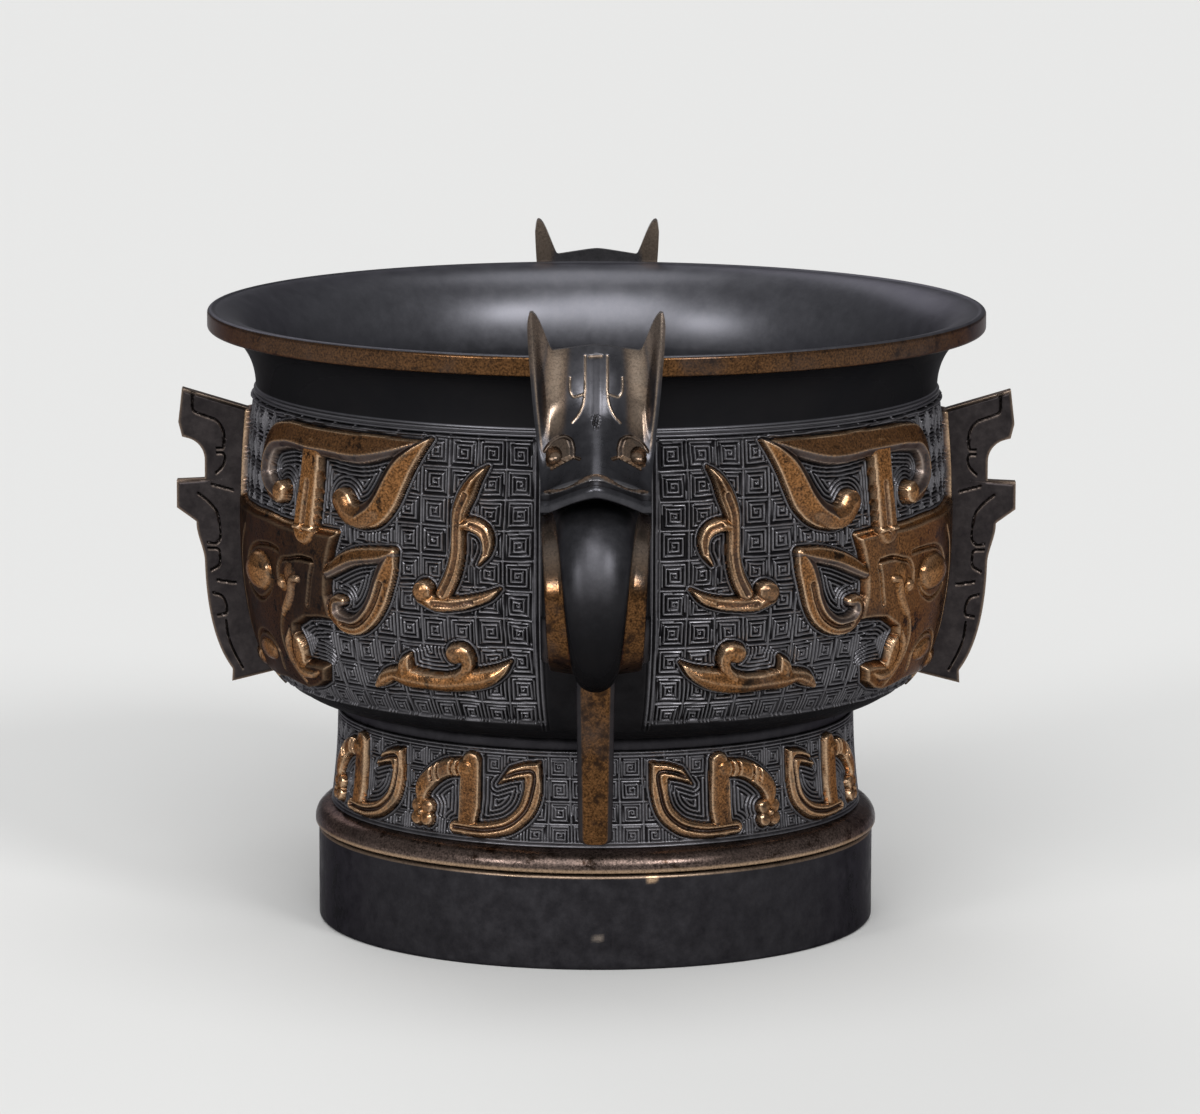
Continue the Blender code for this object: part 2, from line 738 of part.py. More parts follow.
def head_back():
    """Reach of the untrimmed back of the head, inside the wall of the bowl all the way down."""
    return min(NECK_RADIUS, belly_radius(loop_top() - BOWL_BASE)) - BOWL_WALL


def head(cutters):
    """The beast's head from its crown to its rolled upper lip, its back left long for the bowl to trim."""
    sections = [head_section(share) for share in steps(HEAD_LEVELS)]
    lip = [(x, y, z - LIP_ROLL) for x, y, z in sections[-1]]
    inset = 1 - THROAT_INSET / SNOUT_HALF_WIDTH
    throat = [(x * inset, min(y + THROAT_DEPTH, -head_back()), z) for x, y, z in lip]
    neck_foot = loop_top() + STRAP_THICKNESS / 2
    neck = [(x, y, neck_foot) for x, y, z in throat]
    return lofted("head_form", sections + [lip, throat, neck], cutters)


def ear(side, cutters):
    """One upright ear: a blade with a thin front edge, cupped towards the face, that ends in a blunt tip."""
    sections = []
    for share in steps(EAR_LEVELS):
        height = mix(RIM_TOP - EAR_DROP, RIM_TOP + EAR_RISE, share)
        rise = max(height - RIM_TOP, 0.0) / EAR_RISE
        outer = CROWN_HALF_WIDTH + EAR_FLARE * (rise - 2 * (1 - ease(share / EAR_FLARE_RUN)))
        width = mix(EAR_ROOT_WIDTH, EAR_TIP_WIDTH, rise)
        back = RIM_RADIUS + SEAM
        deep = mix(EAR_ROOT_DEPTH, EAR_DEPTH, ease(share / EAR_DEPTH_RUN))
        front = back + deep * (1 - EAR_POINT * rise)
        corners = [(outer, back), (outer, front), (outer - EAR_EDGE, front)]
        corners += [(outer - width * inward, mix(back, front, depth)) for inward, depth in EAR_CUP]
        corners.append((outer - width, back))
        sections.append([(side * x, -reach, height) for x, reach in corners])
    name = "left" if side < 0 else "right"
    return lofted(f"{name}_ear_form", sections, cutters)


def eye(side, cutters):
    """One round eye, half sunk in the side of the brow."""
    ball = bmesh.new()
    bmesh.ops.create_uvsphere(ball, u_segments=EYE_SEGMENTS, v_segments=EYE_RINGS, radius=EYE_RADIUS)
    mesh = bpy.data.meshes.new("eye_form")
    ball.to_mesh(mesh)
    ball.free()
    made = place("left_eye_form" if side < 0 else "right_eye_form", mesh, cutters)
    made.location = (side * EYE_SPREAD, -eye_reach(), RIM_TOP - EYE_DROP)
    return made


def eye_reach():
    """Reach of the face at the height and spread of the eyes, found on the nearest ring of the head."""
    spots = [Vector(point) for share in steps(EYE_SEARCH_LEVELS) for point in head_section(share)[:-2]]
    wanted = Vector((EYE_SPREAD, RIM_TOP - EYE_DROP))
    nearest = min(spots, key=lambda spot: (Vector((spot.x, spot.z)) - wanted).length)
    return -nearest.y


def loop_top():
    """Height of the inner face of the loop's upper run."""
    return RIM_TOP - LOOP_TOP_DROP


def loop_floor():
    """Height of the inner face of the loop's lower run."""
    return loop_top() - LOOP_GAP_HEIGHT


def loop_centre():
    """Reach of the middle of the loop's bend, far enough out for its root to be straight."""
    return BELLY_RADIUS + LOOP_RUN


def loop_path():
    """Stations of the loop's inner face as (reach, height, outward direction), from head to belly."""
    half_gap = LOOP_GAP_HEIGHT / 2
    centre_height = loop_top() - half_gap
    stations = [(belly_radius(loop_top() - BOWL_BASE) - BOWL_WALL, loop_top(), (0.0, 1.0))]
    for share in steps(LOOP_STATIONS):
        turn = mix(math.pi / 2, -math.pi / 2, share)
        reach = loop_centre() + LOOP_REACH * math.cos(turn)
        height = centre_height + half_gap * math.sin(turn)
        normal = Vector((math.cos(turn) / LOOP_REACH, math.sin(turn) / half_gap)).normalized()
        stations.append((reach, height, (normal.x, normal.y)))
    wall = belly_radius(loop_floor() - BOWL_BASE)
    stations.append((wall + ROOT_LENGTH, loop_floor(), (0.0, -1.0)))
    stations.append((wall - BOWL_WALL, loop_floor(), (0.0, -1.0)))
    return stations


def loop(cutters):
    """The strap of the handle with its half-round rib, swept from the mouth to a flared root on the belly."""
    stations = loop_path()
    sections = []
    for i, (reach, height, (out, up)) in enumerate(stations):
        share = i / (len(stations) - 1)
        strap = mix(STRAP_TOP_HALF_WIDTH, STRAP_FOOT_HALF_WIDTH, share)
        rib = mix(RIB_TOP_HALF_WIDTH, RIB_FOOT_HALF_WIDTH, share)
        if i == len(stations) - 1:
            strap += ROOT_FLARE
        ring = [(-strap, 0.0), (-strap, STRAP_THICKNESS), (-rib, STRAP_THICKNESS)]
        for turn in RIB_TURNS:
            angle = math.radians(turn)
            ring.append((rib * math.cos(angle), STRAP_THICKNESS + RIB_SWELL * math.sin(angle)))
        ring += [(rib, STRAP_THICKNESS), (strap, STRAP_THICKNESS), (strap, 0.0)]
        sections.append([(x, -(reach + out * n), height + up * n) for x, n in ring])
    return lofted("loop_form", sections, cutters)


def tab(cutters):
    """The flat tab that hangs below the loop."""
    top = loop_floor() - STRAP_THICKNESS / 2
    foot_height = top - TAB_LENGTH - STRAP_THICKNESS / 2
    corner = []
    for share in steps(CORNER_POINTS):
        turn = share * math.pi / 2
        corner.append((math.sin(turn) * TAB_CORNER, (1 - math.cos(turn)) * TAB_CORNER))
    right = [(TAB_FOOT_HALF_WIDTH - TAB_CORNER + x, foot_height + z) for x, z in corner]
    right.append((TAB_TOP_HALF_WIDTH, top))
    outline = right + [(-x, z) for x, z in reversed(right)]
    made = plate("tab_form", outline, TAB_THICKNESS, cutters)
    made.location = (0.0, -(loop_centre() + TAB_THICKNESS / 2), 0.0)
    return made


def bowl_envelope(cutters):
    """The space that the bowl takes up, with the soldering gap, open upward past the rim."""
    outside = bowl_outside(SEAM)
    above = (outside[0][0], RIM_TOP + EAR_RISE + CUTTER_OVERSHOOT)
    profile = [(0.0, above[1]), above, *outside, (0.0, outside[-1][1])]
    return as_cutter(turned("bowl_envelope", profile, cutters))


def handle(collection, cutters, rivet_bores):
    """One casting: head, ears, loop and tab, trimmed to sit against the bowl and bored for its rivets."""
    made = head(collection)
    made.name = "front_handle"
    pieces = [loop(cutters), tab(cutters)]
    for side in (-1, 1):
        pieces += [ear(side, cutters), eye(side, cutters)]
    for piece in pieces:
        combine(made, as_cutter(piece), "UNION")
    combine(made, bowl_envelope(cutters), "DIFFERENCE")
    for bore in rivet_bores:
        combine(made, bore, "DIFFERENCE")
    return baked(made)


# Rivets


def rivet_levels():
    """Heights of the upper and lower rivets of each handle."""
    root_middle = loop_floor() - (STRAP_THICKNESS + RIB_SWELL) / 2
    return {"upper": RIM_TOP - UPPER_RIVET_DROP, "lower": root_middle}


def rivet_seat(height):
    """Reach from the axis at which a rivet's flat head clears the curved inner wall at a height."""
    spots = [height - BOWL_BASE + RIVET_HEAD_RADIUS * step for step in (-1.0, 0.0, 1.0)]
    tightest = min(inner_radius(spot) for spot in spots)
    return math.sqrt(tightest**2 - RIVET_HEAD_RADIUS**2) - SEAM


def rivet_length(height):
    return belly_radius(min(height - BOWL_BASE, BELLY_HEIGHT)) + RIVET_GRIP - rivet_seat(height)


def outward(obj, height, reach, turn):
    """Lays an upright piece along the radius at a height, pointing out of the bowl, turned about Z."""
    lay = Matrix.Translation((0.0, -reach, height)) @ Matrix.Rotation(math.pi / 2, 4, "X")
    obj.matrix_world = Matrix.Rotation(turn, 4, "Z") @ lay


def rivet(name, height, turn, collection):
    length = rivet_length(height)
    profile = [(0.0, length), (RIVET_RADIUS, length), (RIVET_RADIUS, 0.0), (RIVET_HEAD_RADIUS, 0.0)]
    for share in steps(CORNER_POINTS)[1:]:
        swing = share * math.pi / 2
        profile.append((RIVET_HEAD_RADIUS * math.cos(swing), -RIVET_HEAD_HEIGHT * math.sin(swing)))
    made = turned(name, profile, collection)
    made.modifiers["Turn"].steps = RIVET_STEPS
    made.modifiers["Turn"].render_steps = RIVET_STEPS
    outward(made, height, rivet_seat(height), turn)
    return made


def rivet_bore(name, height, turn, cutters):
    drill = bmesh.new()
    length = rivet_length(height) + SEAM + CUTTER_OVERSHOOT
    bmesh.ops.create_cone(
        drill, cap_ends=True, segments=BORE_STEPS, radius1=RIVET_BORE, radius2=RIVET_BORE, depth=length
    )
    bmesh.ops.translate(drill, verts=drill.verts, vec=(0.0, 0.0, length / 2 - CUTTER_OVERSHOOT))
    mesh = bpy.data.meshes.new(name)
    drill.to_mesh(mesh)
    drill.free()
    made = place(name, mesh, cutters)
    outward(made, height, rivet_seat(height), turn)
    return as_cutter(made)


# Assembly


def main():
    clear_scene()
    parts = new_collection("gui_censer")
    cutters = new_collection("gui_censer_cutters")

    vessel = bowl(parts, cutters)
    drum = foot(parts, cutters)
    ring = plinth(parts)
    flanges = [flange(side, parts, cutters, vessel) for side in (-1, 1)]

    rivets = []
    bores = {"front": [], "rear": []}
    for end, turn in (("front", 0.0), ("rear", math.pi)):
        for level, height in rivet_levels().items():
            name = f"{end}_{level}_rivet"
            rivets.append(rivet(name, height, turn, parts))
            bores[end].append(rivet_bore(f"{name}_bore", height, turn, cutters))
    for bore in bores["front"] + bores["rear"]:
        combine(vessel, bore, "DIFFERENCE")

    front = handle(parts, cutters, bores["front"])
    rear = place("rear_handle", front.data.copy(), parts)
    rear.rotation_euler = (0.0, 0.0, math.pi)

    for piece in [vessel, drum, ring]:
        shade(baked(piece), "dark_bronze")
    for piece in [front, rear, *flanges]:
        shade(piece, "brown_bronze")
    for piece in rivets:
        shade(baked(piece), "rivet_bronze")


main()
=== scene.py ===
import math

import bpy
import numpy as np
from mathutils import Matrix, Vector


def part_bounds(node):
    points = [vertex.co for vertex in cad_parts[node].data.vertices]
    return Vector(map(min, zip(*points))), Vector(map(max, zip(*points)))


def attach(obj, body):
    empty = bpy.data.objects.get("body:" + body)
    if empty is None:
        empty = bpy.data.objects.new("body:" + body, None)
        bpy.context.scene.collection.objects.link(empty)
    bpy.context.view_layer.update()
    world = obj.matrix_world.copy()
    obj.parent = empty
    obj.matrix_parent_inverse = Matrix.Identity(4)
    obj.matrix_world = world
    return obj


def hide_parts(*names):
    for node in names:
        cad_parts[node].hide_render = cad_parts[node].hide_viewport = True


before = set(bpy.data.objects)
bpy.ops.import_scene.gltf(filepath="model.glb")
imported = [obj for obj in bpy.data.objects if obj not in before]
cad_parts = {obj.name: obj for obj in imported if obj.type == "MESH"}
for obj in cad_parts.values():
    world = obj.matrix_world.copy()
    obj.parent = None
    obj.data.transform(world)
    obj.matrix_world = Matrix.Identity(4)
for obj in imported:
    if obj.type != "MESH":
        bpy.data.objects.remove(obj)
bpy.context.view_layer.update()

# Sizes here are in millimetres, and meshes are made in metres
MM = 0.001


def span(node):
    """Lowest and highest corner of a node of the frame, in millimetres."""
    return [np.array(corner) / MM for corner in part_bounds(node)]


# Gap between pieces that are soldered together
SEAM = 0.3

# Sizes read from the frame
BOWL_HIGH = span("bowl")[1]
FOOT_HIGH = span("foot_drum")[1]
PLINTH_HIGH = span("plinth_ring")[1]
RIM_TOP = BOWL_HIGH[2]
RIM_RADIUS = BOWL_HIGH[1]
FOOT_TOP = FOOT_HIGH[2]
MOULDING_RADIUS = FOOT_HIGH[0]
PLINTH_TOP = PLINTH_HIGH[2]
PLINTH_RADIUS = PLINTH_HIGH[0]
BOWL_BASE = FOOT_TOP + SEAM
FOOT_BASE = PLINTH_TOP + SEAM

# Bowl: the belly, the neck and the lip
BOWL_WALL = 3.4
BOWL_FLOOR = 4.5
SEAT_RADIUS = 54.5
BELLY_RADIUS = 71.5
BELLY_HEIGHT = 62.5
BELLY_PEAK = 38.0
BELLY_FULLNESS = 2.45
NECK_RADIUS = 70.1
LIP_HEIGHT = 4.2
LIP_ROUND = 0.8
LIP_EDGE = 0.9
NECK_JOINT = BOWL_BASE + BELLY_HEIGHT
UNDER_LIP = RIM_TOP - LIP_HEIGHT
INNER_LIP = (RIM_RADIUS - LIP_EDGE - 0.4, RIM_TOP - 0.25)
NECK_FOOT = NECK_JOINT + 1.6
NECK_TOP = (RIM_RADIUS - LIP_ROUND - 0.3, UNDER_LIP)
NECK_END = UNDER_LIP + 0.3
LIP_GILT_BAND = (UNDER_LIP - 0.1, RIM_TOP - 0.35)
LIP_GILT_LEAST = 0.45
RING_WEAR = 0.25
RING_LEVELS = (1.15, 0.35)
RING_SIZE = (0.42, 0.36)

# Foot and plinth
FOOT_RADIUS = 53.0
FOOT_WALL = 3.2
FOOT_FLARE = 1.4
FOOT_COLLAR = 2.8
COLLAR_EDGE = 0.4
COLLAR_STEP = 0.2
MOULDING_HEIGHT = 4.6
MOULDING_PEAK = 0.22
MOULDING_RISE = 0.76
MOULDING_EDGE = 0.5
MOULDING_STEP = 0.1
MOULDING_GILT = 0.8
MOULDING_WORN_HEIGHT = 1.0
MOULDING_WORN_DEPTH = 0.6
MOULDING_WEAR = 0.7
PLINTH_WALL = 4.5
PLINTH_EDGE = 0.9
PLINTH_LEVELS = 44
PLINTH_MARGIN = 1.3
PLINTH_GILT = 0.3
PLINTH_WEAR = 0.4
SPIGOT_DEPTH = 3.0
SPIGOT_WALL = 3.0
BAND_TOP = FOOT_TOP - FOOT_COLLAR
BAND_FOOT = FOOT_BASE + MOULDING_HEIGHT

# Grids: place s goes round from a handle at a reference radius, and place q goes down along the surface
LINE_PITCH = 0.85
GRID = LINE_PITCH / 4
BELLY_REFERENCE = 72.0
FOOT_REFERENCE = 53.5
TILE_DEPTH = 1.6
TILE_PLAY = 0.2
BACK_STRIDE = 14
BELLY_TILE_FOOT = 50.0
RECESS_ENDS = (NECK_JOINT - 0.15, BELLY_TILE_FOOT + 0.4)
PROFILE_SAMPLES = 2000
QUARTER = math.pi / 2
TURN_STEPS = 360
AXIS_HOLE = 0.3
SKIN_MARGIN = 1.5
FIRST_SEED = 11
SEED_STEP = 5
SECOND_SEED = 7

# Quarters as (name, angle of the handle that they start from, way round), and the gilding left on their masks
QUARTERS = (
    ("front_right", -QUARTER, 1),
    ("front_left", -QUARTER, -1),
    ("rear_right", QUARTER, -1),
    ("rear_left", QUARTER, 1),
)
# The front left and rear right masks keep less gilding and are darker, as painted shade
MASK_GILDING_AND_SHADE = (0.75, 0.5, 0.5, 0.75)

# Helpers for smooth shapes


def ease(low, high, value):
    """A smooth step from 0 at low to 1 at high."""
    share = np.clip((value - low) / (high - low), 0.0, 1.0)
    return share * share * (3.0 - 2.0 * share)


def mix(start, end, share):
    return start + (end - start) * share


def wave(value):
    """0 at whole numbers and 1 halfway between them."""
    return 0.5 - 0.5 * np.cos(2 * math.pi * value)


def raised_line(value, place, flank):
    """1 on a line at a place, falling to 0 over its flank, which is given as near and far gap."""
    return 1.0 - ease(*flank, np.abs(value - place))


def middle_line(points):
    """A stroke's points without their widths."""
    return [point[:2] for point in points]


def smooth_path(points, pitch):
    """Points along a smooth curve through the given ones, with any further values carried along."""
    knots = np.array(points, float)
    gaps = np.linalg.norm(np.diff(knots[:, :2], axis=0), axis=1)
    along = np.concatenate([[0.0], np.cumsum(gaps)])
    slopes = np.gradient(knots, along, axis=0)
    fine = np.linspace(0.0, along[-1], max(3, int(along[-1] / pitch) + 1))
    left = np.clip(np.searchsorted(along, fine, side="right") - 1, 0, len(gaps) - 1)
    gap = gaps[left][:, None]
    t = (fine - along[left])[:, None] / gap
    start = (1 + 2 * t) * (1 - t) ** 2
    leave = t * (1 - t) ** 2
    end = t * t * (3 - 2 * t)
    arrive = t * t * (t - 1)
    curve = start * knots[left] + leave * gap * slopes[left]
    return curve + end * knots[left + 1] + arrive * gap * slopes[left + 1]


WANDER_WAVES = 5
WANDER_SHORTEST = 0.6
WANDER_STEP = 0.25
WANDER_LEVEL = 3.0


def wander(a, b, seed, size):
    """Slow, smooth wandering between about -1 and 1 over two coordinates, the same each time."""
    total = np.zeros(np.broadcast(a, b).shape)
    rng = np.random.default_rng(seed)
    for step in range(WANDER_WAVES):
        turn = rng.uniform(0.0, 2 * math.pi)
        start = rng.uniform(0.0, 2 * math.pi)
        rate = 2 * math.pi / (size * (WANDER_SHORTEST + WANDER_STEP * step))
        total += np.sin((a * math.cos(turn) + b * math.sin(turn)) * rate + start)
    return total / WANDER_LEVEL


def smoothed(values, reach):
    """Mean over a square of places round each place of a grid."""
    for axis in (0, 1):
        margins = [(reach, reach) if k == axis else (0, 0) for k in (0, 1)]
        wide = np.pad(values, margins, mode="edge")
        count = values.shape[axis]
        shifted_sum = sum(np.take(wide, range(k, k + count), axis) for k in range(2 * reach + 1))
        values = shifted_sum / (2 * reach + 1)
    return values


RUB_AND_HIGHLIGHT_REACH = 2
RUB_AND_HIGHLIGHT_HEIGHT = 0.30


def rubbed_and_highlit(height):
    """How much each place is lightened, partly as wear from hands and partly as painted highlight: 1 on edges
    that stand out, 0 on flats and in hollows.
    """
    return np.clip((height - smoothed(height, RUB_AND_HIGHLIGHT_REACH)) / RUB_AND_HIGHLIGHT_HEIGHT, 0.0, 1.0)


# Relief fields: each works on a grid of places in millimetres

FAR = 99.0
PATH_PITCH = 0.3
LEAST_HALF = 0.05
FULL_WIDTH = 0.75
LEAN_POWER = 6
CUT_FINISH = 0.6
STROKE_MARGIN = 4.0
FORM_MARGIN = 3.0
LINE_MARGIN = 1.0
BEVEL_GILT = 0.20
LOWEST = -0.2
FORM_LINES = (0.75, 0.95)
RIDGE_FLANK = (0.15, 0.65)
FORM_FADE = 0.15
SPIRAL_LINES = 7
SPIRAL_FRAME = 3.0
SPIRAL_REACH = SPIRAL_FRAME - 0.1


def outline_gap(s, q, corners):
    """Gap from each place to an outline of corners, less than 0 inside it."""
    gap = np.full(s.shape, FAR)
    inside = np.zeros(s.shape, bool)
    for (s0, q0), (s1, q1) in zip(corners, np.roll(corners, -1, axis=0)):
        run_s = s1 - s0
        run_q = q1 - q0
        share = np.clip(((s - s0) * run_s + (q - q0) * run_q) / (run_s**2 + run_q**2), 0.0, 1.0)
        gap = np.minimum(gap, np.hypot(s - s0 - share * run_s, q - q0 - share * run_q))
        if run_q != 0:
            crossing = (q0 > q) != (q1 > q)
            inside ^= crossing & (s < s0 + (q - q0) * run_s / run_q)
    return np.where(inside, -gap, gap)


class Field:
    """A relief being raised on a grid, with the gap to its forms and the finish of each place."""

    def __init__(self, s, q, down):
        self.s = s
        self.q = q
        self.down = down
        self.height = np.zeros(s.shape)
        self.gilt = np.zeros(s.shape)
        self.pale = np.zeros(s.shape)
        self.dark = np.zeros(s.shape)
        self.edge = np.full(s.shape, FAR)
        self.nested = np.zeros(s.shape, bool)

    def window(self, points, margin):
        """The part of the grid round some (s, q) points, which may be empty."""
        low = points.min(axis=0) - margin
        high = points.max(axis=0) + margin
        rows = np.flatnonzero((self.q[:, 0] >= low[1]) & (self.q[:, 0] <= high[1]))
        columns = np.flatnonzero((self.s[0] >= low[0]) & (self.s[0] <= high[0]))
        return tuple(slice(hits[0], hits[-1] + 1) if len(hits) else slice(0) for hits in (rows, columns))

    def across(self, points, lean=0.0, margin=STROKE_MARGIN):
        """Place over a stroke's width from -1 to 1, gap to its edge, place of its ridge and half width."""
        path = smooth_path([(s, self.down(z), half) for s, z, half in points], PATH_PITCH)
        part = self.window(path[:, :2], path[:, 2].max() + margin)
        s = self.s[part]
        q = self.q[part]
        edge = np.full(s.shape, FAR)
        place = np.full(s.shape, FAR)
        ridge = np.zeros(s.shape)
        width = np.ones(s.shape)
        runs = np.gradient(path[:, :2], axis=0)
        leans = lean * (1.0 - np.linspace(-1.0, 1.0, len(path)) ** LEAN_POWER)
        for (centre_s, centre_q, half), (run_s, run_q), shift in zip(path, runs, leans):
            half = max(half, LEAST_HALF)
            right = s - centre_s
            fall = q - centre_q
            gap = np.hypot(right, fall)
            closer = gap - half < edge
            edge = np.where(closer, gap - half, edge)
            side = np.where(fall * run_s > right * run_q, 1.0, -1.0)
            place = np.where(closer, side * gap / half, place)
            ridge = np.where(closer, shift, ridge)
            width = np.where(closer, half, width)
        return part, place, edge, ridge, width

    def keep(self, part, edge, height, gilt, dark=0.0):
        """Takes a form into the relief wherever it stands higher than what is there."""
        higher = (edge < 0) & (height > self.height[part])
        for layer, values in ((self.height, height), (self.gilt, gilt), (self.dark, dark)):
            layer[part] = np.where(higher, values, layer[part])
        self.edge[part] = np.minimum(self.edge[part], edge)

    def stroke(self, points, rise, gilt=1.0, base=0.0, flat=0.0, roof=0.0, lean=0.0):
        """A raised stroke of changing width: half round, flat-topped, or a roof whose ridge may lean."""
        part, place, edge, ridge, width = self.across(points, lean)
        widest = max(point[2] for point in points)
        full = rise * np.clip(width / (FULL_WIDTH * widest), 0.0, 1.0)
        slope = np.where(place > ridge, (1.0 - place) / (1.0 - ridge), (1.0 + place) / (1.0 + ridge))
        slope = np.clip(slope / (1.0 - flat), 0.0, 1.0)
        dome = np.sqrt(1.0 - (1.0 - slope) ** 2)
        bevel = (place - ridge) * lean > 0
        self.keep(part, edge, base + full * mix(dome, slope, roof), np.where(bevel, BEVEL_GILT * gilt, gilt))

    def groove(self, points, half, depth, gilt=None, pale=None, dark=None):
        """A line cut into the relief, with a finish of its own where one is given."""
        part, place = self.across([(s, z, half) for s, z in points], margin=LINE_MARGIN)[:2]
        cut = np.clip(1.0 - place**2, 0.0, 1.0)
        self.height[part] = np.maximum(self.height[part] - depth * cut, LOWEST)
        for layer, value in ((self.gilt, gilt), (self.pale, pale), (self.dark, dark)):
            if value is not None:
                layer[part] = mix(layer[part], value, ease(0.0, CUT_FINISH, cut))

    def line(self, points, half, rise, gilt=1.0):
        """A fine line raised on top of whatever is there."""
        part, place, edge = self.across([(s, z, half) for s, z in points], margin=LINE_MARGIN)[:3]
        self.height[part] += rise * np.clip(1.0 - place**2, 0.0, 1.0)
        self.gilt[part] = np.where(edge < 0, np.maximum(self.gilt[part], gilt), self.gilt[part])
        self.edge[part] = np.minimum(self.edge[part], edge)

    def knob(self, s, z, half_s, half_z, rise, gilt=1.0, base=0.0, dark=0.0):
        """A domed oval knob."""
        q = self.down(z)
        part = self.window(np.array([(s, q)]), max(half_s, half_z) + FORM_MARGIN)
        share = np.hypot((self.s[part] - s) / half_s, (self.q[part] - q) / half_z)
        edge = (share - 1.0) * min(half_s, half_z)
        self.keep(part, edge, base + rise * np.sqrt(np.clip(1.0 - share**2, 0.0, 1.0)), gilt, dark)

    def patch(self, outline):
        """The part of the grid round an outline of (s, z) corners, and its gap to that outline."""
        corners = np.array([(s, self.down(z)) for s, z in outline])
        part = self.window(corners, FORM_MARGIN)
        return part, outline_gap(self.s[part], self.q[part], corners)

    def plate(self, outline, rise, bevel, gilt, dark):
        """A flat raised area with bevelled edges."""
        part, edge = self.patch(outline)
        self.keep(part, edge, rise * ease(0.0, bevel, -edge), gilt, dark)

    def sink(self, outline, depth, bevel, gilt, pale):
        """A flat area let into the surface, with sloping edges and a finish of its own."""
        part, edge = self.patch(outline)
        inside = ease(0.0, bevel, -edge)
        self.height[part] -= depth * inside
        self.gilt[part] = mix(self.gilt[part], gilt, inside)
        self.pale[part] = mix(self.pale[part], pale, inside)

    def nest(self, s, z, half_s, half_z):
        """An oval in which the ground lines only follow the forms round them."""
        self.nested |= np.hypot((self.s - s) / half_s, (self.q - self.down(z)) / half_z) < 1.0

    def ground(self, origin_s, origin_q, cell, depth):
        """Fills the ground between the forms with square spirals and with lines along the forms."""
        u = (self.s - origin_s) % cell - cell / 2
        v = (self.q - origin_q) % cell - cell / 2
        column = np.floor((self.s - origin_s) / cell)
        row = np.floor((self.q - origin_q) / cell)
        u = np.where((column + row) % 2 > 0, -u, u)
        cells = square_spiral(u, v, cell)
        out = np.maximum(self.edge, 0.0)
        near = np.maximum(1.0 - ease(*FORM_LINES, out), self.nested)
        ridges = ease(*RIDGE_FLANK, mix(cells, wave(out / LINE_PITCH), near))
        raised = np.clip(-self.edge / FORM_FADE, 0.0, 1.0)
        self.height = mix(ridges * depth, self.height + depth, raised)


def square_spiral(u, v, cell):
    """Ridges of one square spiral inside a frame: 1 on a line, 0 in a groove."""
    pitch = cell / SPIRAL_LINES
    ring = np.maximum(np.abs(u), np.abs(v)) / pitch
    upright = np.abs(u) >= np.abs(v)
    side = np.where(upright, np.where(u > 0, 0.0, 0.5), np.where(v > 0, 0.25, 0.75))
    return np.where(ring > SPIRAL_REACH, wave(ring - SPIRAL_FRAME), wave(ring + side))


# Meshes, each with an angle in degrees over which its edges stay sharp

TURNED_SHARP = 50
TILE_SHARP = 180
CAST_SHARP = 42


